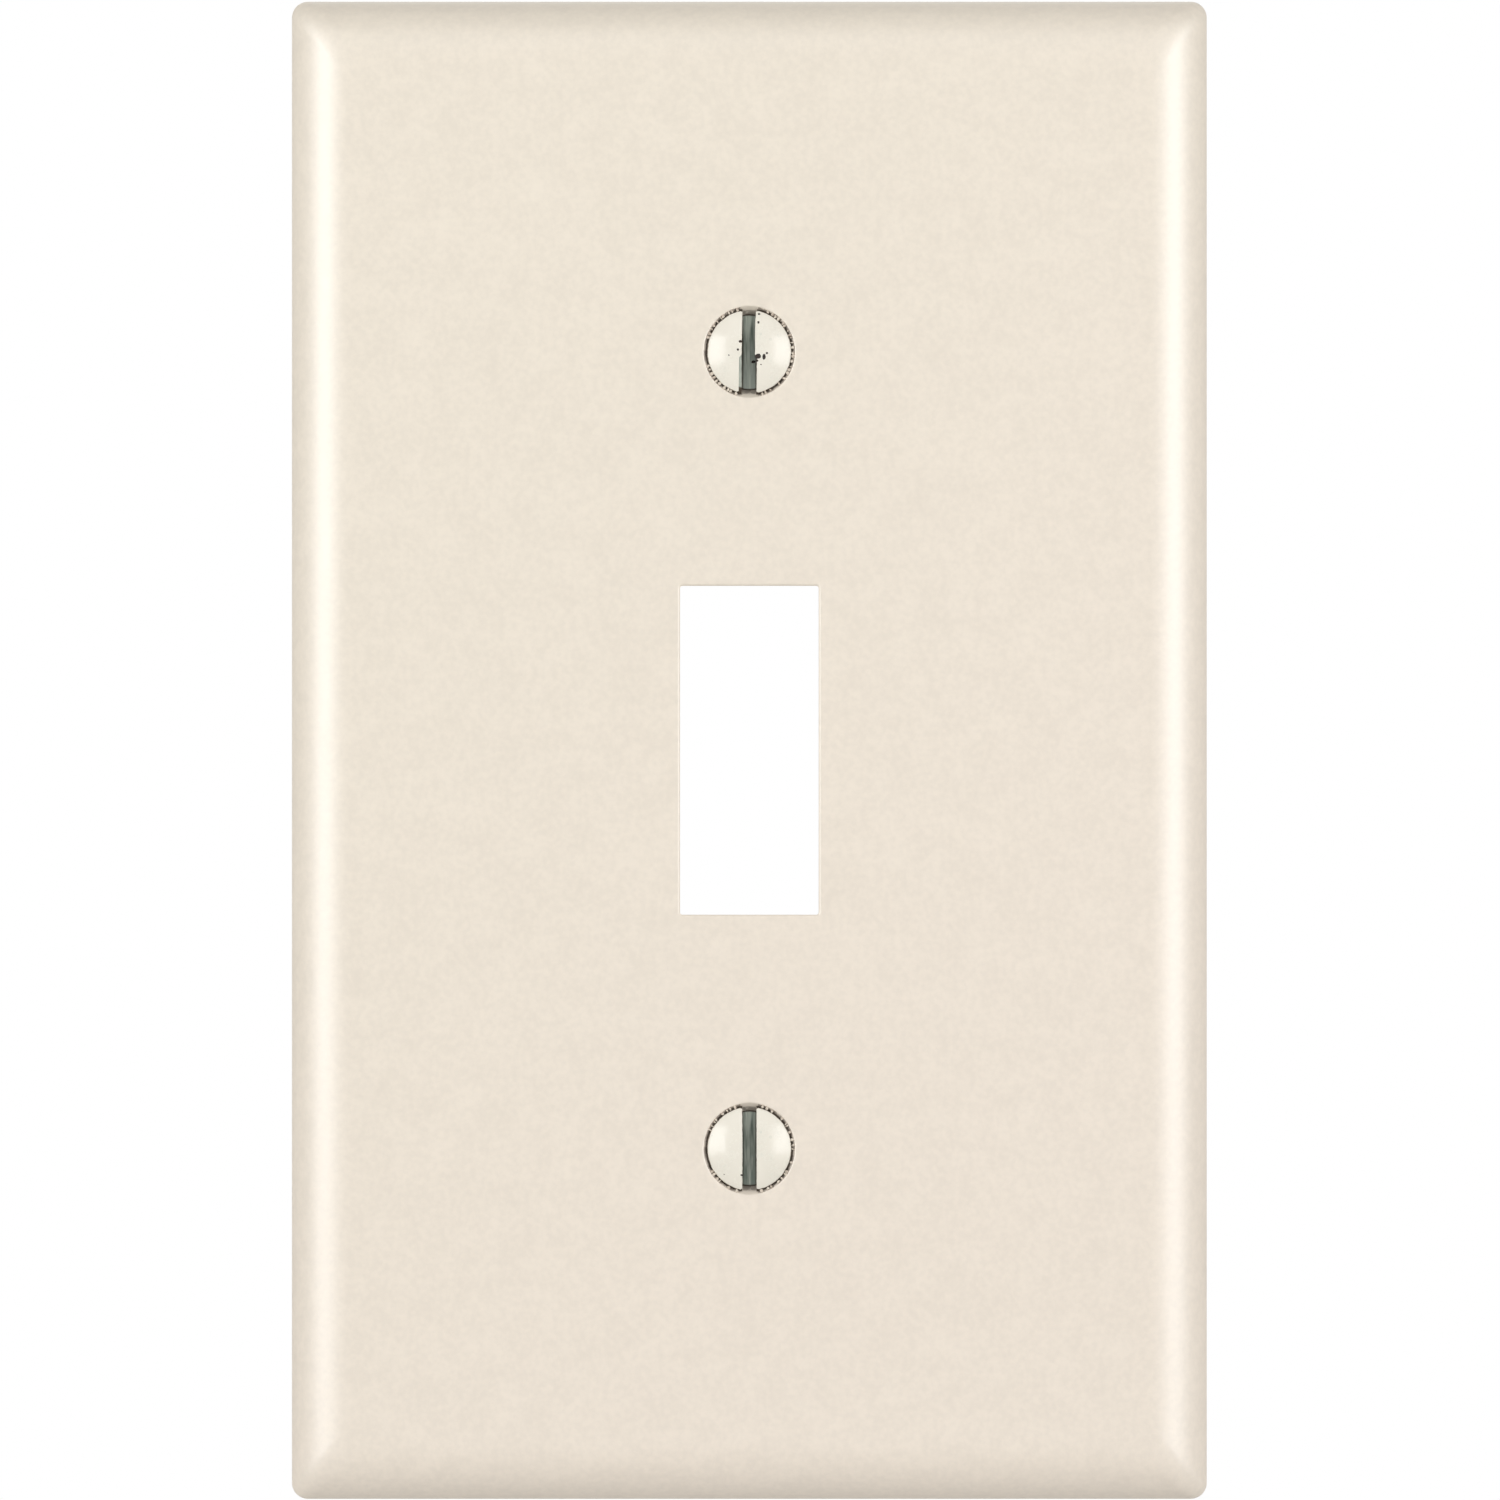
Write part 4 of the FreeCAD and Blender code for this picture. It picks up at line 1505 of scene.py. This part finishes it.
@dataclass
class Screw:
    """One screw: its turned and threaded metal, its two halves of paint, chips and crumbs.

    Its worn value is the share of bright metal at its slot's lower end.
    """

    side: Side
    seat: Vector
    lean: float
    left_edge: PaintEdge
    right_edge: PaintEdge
    chips: list[Chip]
    gap: GapPaint
    seed: float
    worn: float
    sizes: ScrewSizes = ScrewSizes()
    chip_sizes: ChipSizes = ChipSizes()
    saw: Plan = (10.0, 4.0)
    metal_sharp: float = 32.0
    paint_sharp: float = 60.0

    def to_plate(self) -> Matrix:
        """The placement from the screw's own axes, Z out of its head, to the plate's."""
        stand = Matrix.Rotation(math.pi / 2, 4, "X") @ Matrix.Rotation(math.radians(self.lean), 4, "Z")
        return Matrix.Translation(self.seat * MM) @ stand

    def metal(self, tree: bpy.types.NodeTree, material: bpy.types.Material) -> bpy.types.Object:
        """Turns the metal from its profile.

        Args:
            tree: the turned screw's node tree.
            material: the steel.

        Returns:
            The object.
        """
        sizes = self.sizes
        obj = points_object(f"{self.side.value}_metal", sizes.profile())
        values = {
            "Segments": sizes.segments, "Pitch": sizes.pitch * MM, "Root Radius": sizes.root_radius * MM,
            "Thread Depth": (sizes.crest_radius - sizes.root_radius) * MM,
            "Root Flat": sizes.pitch / 8 * MM, "Thread Top": sizes.thread_top * MM,
            "Slot Size": (sizes.slot_width * MM, *(length * MM for length in self.saw)),
            "Slot Floor": sizes.slot_floor * MM, "Material": material,
        }
        return self._settle(apply_nodes(obj, tree, values), self.metal_sharp)

    def paint(self, material: bpy.types.Material) -> bpy.types.Object:
        """Lays both halves of the paint over the crown.

        Args:
            material: the enamel.

        Returns:
            The object.
        """
        mesh = bmesh.new()
        PaintCap(self.sizes, -1, self.left_edge, self.seed).build(mesh)
        PaintCap(self.sizes, 1, self.right_edge, self.seed + 20.0).build(mesh)
        obj = link_mesh(f"{self.side.value}_paint", mesh)
        obj.data.materials.append(material)
        return self._settle(obj, self.paint_sharp)

    def chipped(self, tree: bpy.types.NodeTree, material: bpy.types.Material) -> bpy.types.Object:
        """Sets the chips into the paint.

        Args:
            tree: the flakes' node tree.
            material: the dark metal.

        Returns:
            The object.
        """
        shared = self.chip_sizes
        points, sizes = [], []
        for chip in self.chips:
            height = self.sizes.dome(math.hypot(*chip.place)) - shared.depth
            if chip.in_slot:
                height = self.sizes.slot_floor
            points.append(Vector((*chip.place, height)))
            sizes.append(Vector((*(size * shared.scale for size in chip.size), shared.half_thickness)))
        obj = points_object(f"{self.side.value}_chips", points, sizes)
        centre = (0.0, 0.0, (self.sizes.crown - self.sizes.dome_radius) * MM)
        values = {"Sphere Centre": centre, "Raggedness": shared.raggedness * MM, "Grain": shared.grain,
                  "Seed": self.seed, "Material": material}
        return self._settle(apply_nodes(obj, tree, values), self.paint_sharp)

    def crumbs(self, tree: bpy.types.NodeTree, material: bpy.types.Material) -> bpy.types.Object:
        """Lays crumbs of paint in the gap round the head, but for one clear stretch.

        Args:
            tree: the flakes' node tree.
            material: the dried paint.

        Returns:
            The object.
        """
        gap, chance = self.gap, random.Random(self.seed)
        points, sizes = [], []
        for n in range(gap.count):
            angle = math.tau * (n + chance.uniform(-gap.jitter, gap.jitter)) / gap.count
            width = chance.uniform(*gap.width)
            aside = (math.degrees(angle) - gap.clear_middle + 180) % 360 - 180
            if abs(aside) > gap.clear_half and chance.random() < gap.share:
                radius = gap.radius + chance.uniform(*gap.scatter)
                height = chance.uniform(*gap.height)
                across = radius * math.cos(angle)
                if abs(across) < self.sizes.slot_width * gap.slot_clearance:
                    continue
                points.append(Vector((across, radius * math.sin(angle), height)))
                sizes.append(Vector((chance.uniform(*gap.length), width, gap.half_thickness)))
        obj = points_object(f"{self.side.value}_gap_crumbs", points, sizes)
        values = {"Sphere Centre": (0.0, 0.0, -1.0), "Raggedness": gap.raggedness * MM,
                  "Grain": gap.grain, "Seed": self.seed + 3.0, "Radial": 1.0, "Material": material}
        return self._settle(apply_nodes(obj, tree, values), self.paint_sharp)

    def _settle(self, obj: bpy.types.Object, sharp: float) -> bpy.types.Object:
        """Moves a piece's mesh to its seat, closes it, faces it outwards and smooths it.

        Args:
            obj: the piece, in the screw's own axes.
            sharp: the angle in degrees past which an edge stays sharp.

        Returns:
            The same object.
        """
        mesh = bmesh.new()
        mesh.from_mesh(obj.data)
        bmesh.ops.transform(mesh, matrix=self.to_plate(), verts=mesh.verts)
        bmesh.ops.remove_doubles(mesh, verts=mesh.verts, dist=MERGE)
        bmesh.ops.recalc_face_normals(mesh, faces=mesh.faces)
        mesh.to_mesh(obj.data)
        mesh.free()
        return smooth(obj, sharp)


# ------------------------------------------------------------------ stage


@dataclass(frozen=True)
class Softbox:
    """One rectangular lamp that faces the plate's middle, in degrees, metres and watts.

    Azimuth 0 is straight in front, and positive is to the right.
    """

    name: str
    azimuth: float
    elevation: float
    distance: float
    width: float
    height: float
    watts: float

    def light(self) -> bpy.types.Object:
        """Hangs the lamp.

        Returns:
            The lamp.
        """
        data = bpy.data.lights.new(self.name, "AREA")
        data.shape = "RECTANGLE"
        data.size = self.width
        data.size_y = self.height
        data.energy = self.watts
        lamp = link(self.name, data)
        turn, rise = math.radians(self.azimuth), math.radians(self.elevation)
        flat = self.distance * math.cos(rise)
        place = Vector((flat * math.sin(turn), -flat * math.cos(turn), self.distance * math.sin(rise)))
        lamp.matrix_world = Matrix.Translation(place) @ place.to_track_quat("Z", "Y").to_matrix().to_4x4()
        return lamp


@dataclass(frozen=True)
class Stage:
    """The floor, the lamps, the bright surround and the camera, all in metres."""

    camera_distance: float = 0.520
    frame_height: float = 0.11477
    sensor: float = 36.0
    camera_shift: Plan = (0.00005, 0.00002)
    floor_drop: float = 0.06
    floor_half: float = 0.5
    floor_colour: Colour = (0.78, 0.775, 0.76)
    floor_roughness: float = 0.8
    surround: float = 0.47
    surround_colour: Colour = (1.0, 0.99, 0.975)
    softboxes: tuple[Softbox, ...] = (
        Softbox("left_softbox", -54, -5.5, 0.7, 0.42, 0.9, 4.38),
        Softbox("right_softbox", 54, -5.5, 0.7, 0.42, 0.9, 4.29),
        Softbox("top_softbox", 0, 45, 0.8, 0.8, 0.4, 0.5),
        Softbox("rear_softbox", 180, 22, 0.9, 0.5, 0.7, 1.3),
    )

    def floor(self, bottom: float) -> bpy.types.Object:
        """Lays the pale floor.

        Args:
            bottom: the height of the plate's lower edge.

        Returns:
            The floor.
        """
        half, level = self.floor_half, bottom - self.floor_drop
        data = bpy.data.meshes.new("pale_floor")
        corners = [(-half, -half, level), (half, -half, level), (half, half, level), (-half, half, level)]
        data.from_pydata(corners, [], [(0, 1, 2, 3)])
        obj = link("pale_floor", data)
        material = bpy.data.materials.new("pale_floor")
        material.use_nodes = True
        inputs = {"Base Color": (*self.floor_colour, 1.0), "Roughness": self.floor_roughness}
        Graph(material.node_tree).wire(material.node_tree.nodes["Principled BSDF"], inputs)
        data.materials.append(material)
        return obj

    def world(self) -> None:
        """Makes the surround white to the camera, and dimmer as a light."""
        world = bpy.data.worlds.new("white_surround")
        bpy.context.scene.world = world
        world.use_nodes = True
        graph, nodes = Graph(world.node_tree), world.node_tree.nodes
        base = nodes["Background"]
        graph.wire(base, {"Color": (*self.surround_colour, 1.0), "Strength": self.surround})
        seen = graph.add("ShaderNodeBackground", {"Color": (1, 1, 1, 1), "Strength": 1.0})
        ray = graph.add("ShaderNodeLightPath").outputs["Is Camera Ray"]
        either = graph.add("ShaderNodeMixShader", {0: ray, 1: base.outputs[0], 2: seen.outputs[0]})
        graph.wire(nodes["World Output"], {0: either.outputs[0]})

    def camera(self) -> bpy.types.Object:
        """Sets the camera straight in front of the plate.

        Returns:
            The camera.
        """
        data = bpy.data.cameras.new("front_camera")
        data.sensor_width = self.sensor
        data.lens = self.sensor * self.camera_distance / self.frame_height
        data.clip_start = 0.01
        obj = link("front_camera", data)
        obj.location = (self.camera_shift[0], -self.camera_distance, self.camera_shift[1])
        obj.rotation_euler = (math.pi / 2, 0, 0)
        bpy.context.scene.camera = obj
        return obj

    def build(self, bottom: float) -> None:
        """Sets the whole stage under and around the plate.

        Args:
            bottom: the height of the plate's lower edge.
        """
        self.camera()
        self.world()
        self.floor(bottom)
        for softbox in self.softboxes:
            softbox.light()
        bpy.context.scene.view_settings.view_transform = "Standard"


# ------------------------------------------------------------------ the whole


def node_box(node: str) -> tuple[Vector, Vector]:
    """A CAD node's lowest and highest corners at rest, in millimetres."""
    low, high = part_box(node)
    return low / MM, high / MM


def screws(seats: dict[Side, Vector]) -> list[Screw]:
    """Describes the two screws, each with its own paint edges and chips.

    Args:
        seats: the middle of each head's edge plane, in millimetres.

    Returns:
        The upper screw, then the lower.
    """
    upper = Screw(
        Side.UPPER, seats[Side.UPPER], -0.6,
        PaintEdge(((-3.0, 0.77), (-0.50, 0.76), (-0.25, 0.58), (3.0, 0.56))),
        PaintEdge(((-3.0, 0.57), (-0.55, 0.58), (-0.20, 0.43), (2.0, 0.42), (3.0, 0.46))),
        [Chip((0.66, -0.38), (0.40, 0.34)), Chip((0.60, -0.70), (0.16, 0.16)),
         Chip((1.12, -0.42), (0.24, 0.40)), Chip((1.33, -0.13), (0.16, 0.18)),
         Chip((0.88, -1.0), (0.14, 0.10)), Chip((-0.68, 0.72), (0.24, 0.20)),
         Chip((-0.86, 0.12), (0.18, 0.18)), Chip((-1.54, -0.31), (0.10, 0.09)),
         Chip((0.66, 2.2), (0.14, 0.20)), Chip((0.70, 2.85), (0.16, 0.14)),
         Chip((0.33, -0.74), (0.26, 0.24), True)],
        GapPaint(180.0, 12.0), seed=1.0, worn=0.55,
    )
    lower = Screw(
        Side.LOWER, seats[Side.LOWER], 0.0,
        PaintEdge(((-3.0, 0.53), (0.0, 0.52), (3.0, 0.54))),
        PaintEdge(((-3.0, 0.55), (0.5, 0.545), (3.0, 0.54))),
        [Chip((-0.60, -1.96), (0.16, 0.14)), Chip((-1.9, -1.93), (0.10, 0.09))],
        GapPaint(180.0, 20.0, share=0.85), seed=7.0, worn=0.15,
    )
    return [upper, lower]


def dress(obj: bpy.types.Object, body: str, node: str) -> None:
    """Ties a piece to its CAD body and node, and reports it.

    Args:
        obj: the piece.
        body: the body that it moves with.
        node: the CAD node that it stands in for.
    """
    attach(obj, body)
    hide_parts(node)
    mesh = bmesh.new()
    mesh.from_mesh(obj.data)
    open_edges = sum(1 for edge in mesh.edges if not edge.is_manifold)
    log.info("%s: %d faces, %d open edges, %.1f mm3", obj.name, len(mesh.faces), open_edges,
             mesh.calc_volume(signed=True) / MM ** 3)
    mesh.free()


def main() -> None:
    """Builds the stage, the plate and both screws."""
    plate_low, plate_high = node_box("wall_plate")
    Stage().build(plate_low.z * MM)
    effects = Effects()
    seats = {}
    for side in Side:
        low, high = node_box(side.value)
        seats[side] = Vector((0.0, high.y - ScrewSizes.length, (low.z + high.z) / 2))
    holes = [(seat.x, seat.z) for seat in seats.values()]
    plate = WallPlate(plate_low, plate_high, holes)
    moulding = plate.build()
    moulding.data.materials.append(AlmondPlastic().material(effects, plate.holes))
    dress(moulding, "plate", "wall_plate")
    turning, flaking = turned_screw_tree(), flakes_tree()
    bare = DarkChip().material("chipped_paint", Slot.STEEL, effects)
    crumbled = DriedPaint().material("dried_paint", Slot.PAINT, effects)
    for screw in screws(seats):
        centre = (screw.seat.x, screw.seat.z)
        node = screw.side.value
        steel = DullSteel(worn=screw.worn).material(effects, screw.side, centre)
        dress(screw.metal(turning, steel), node, node)
        enamel = CreamEnamel().material(effects, screw.side, centre)
        dress(screw.paint(enamel), node, node)
        dress(screw.chipped(flaking, bare), node, node)
        dress(screw.crumbs(flaking, crumbled), "plate", "wall_plate")


if __name__ == "__main__":
    main()
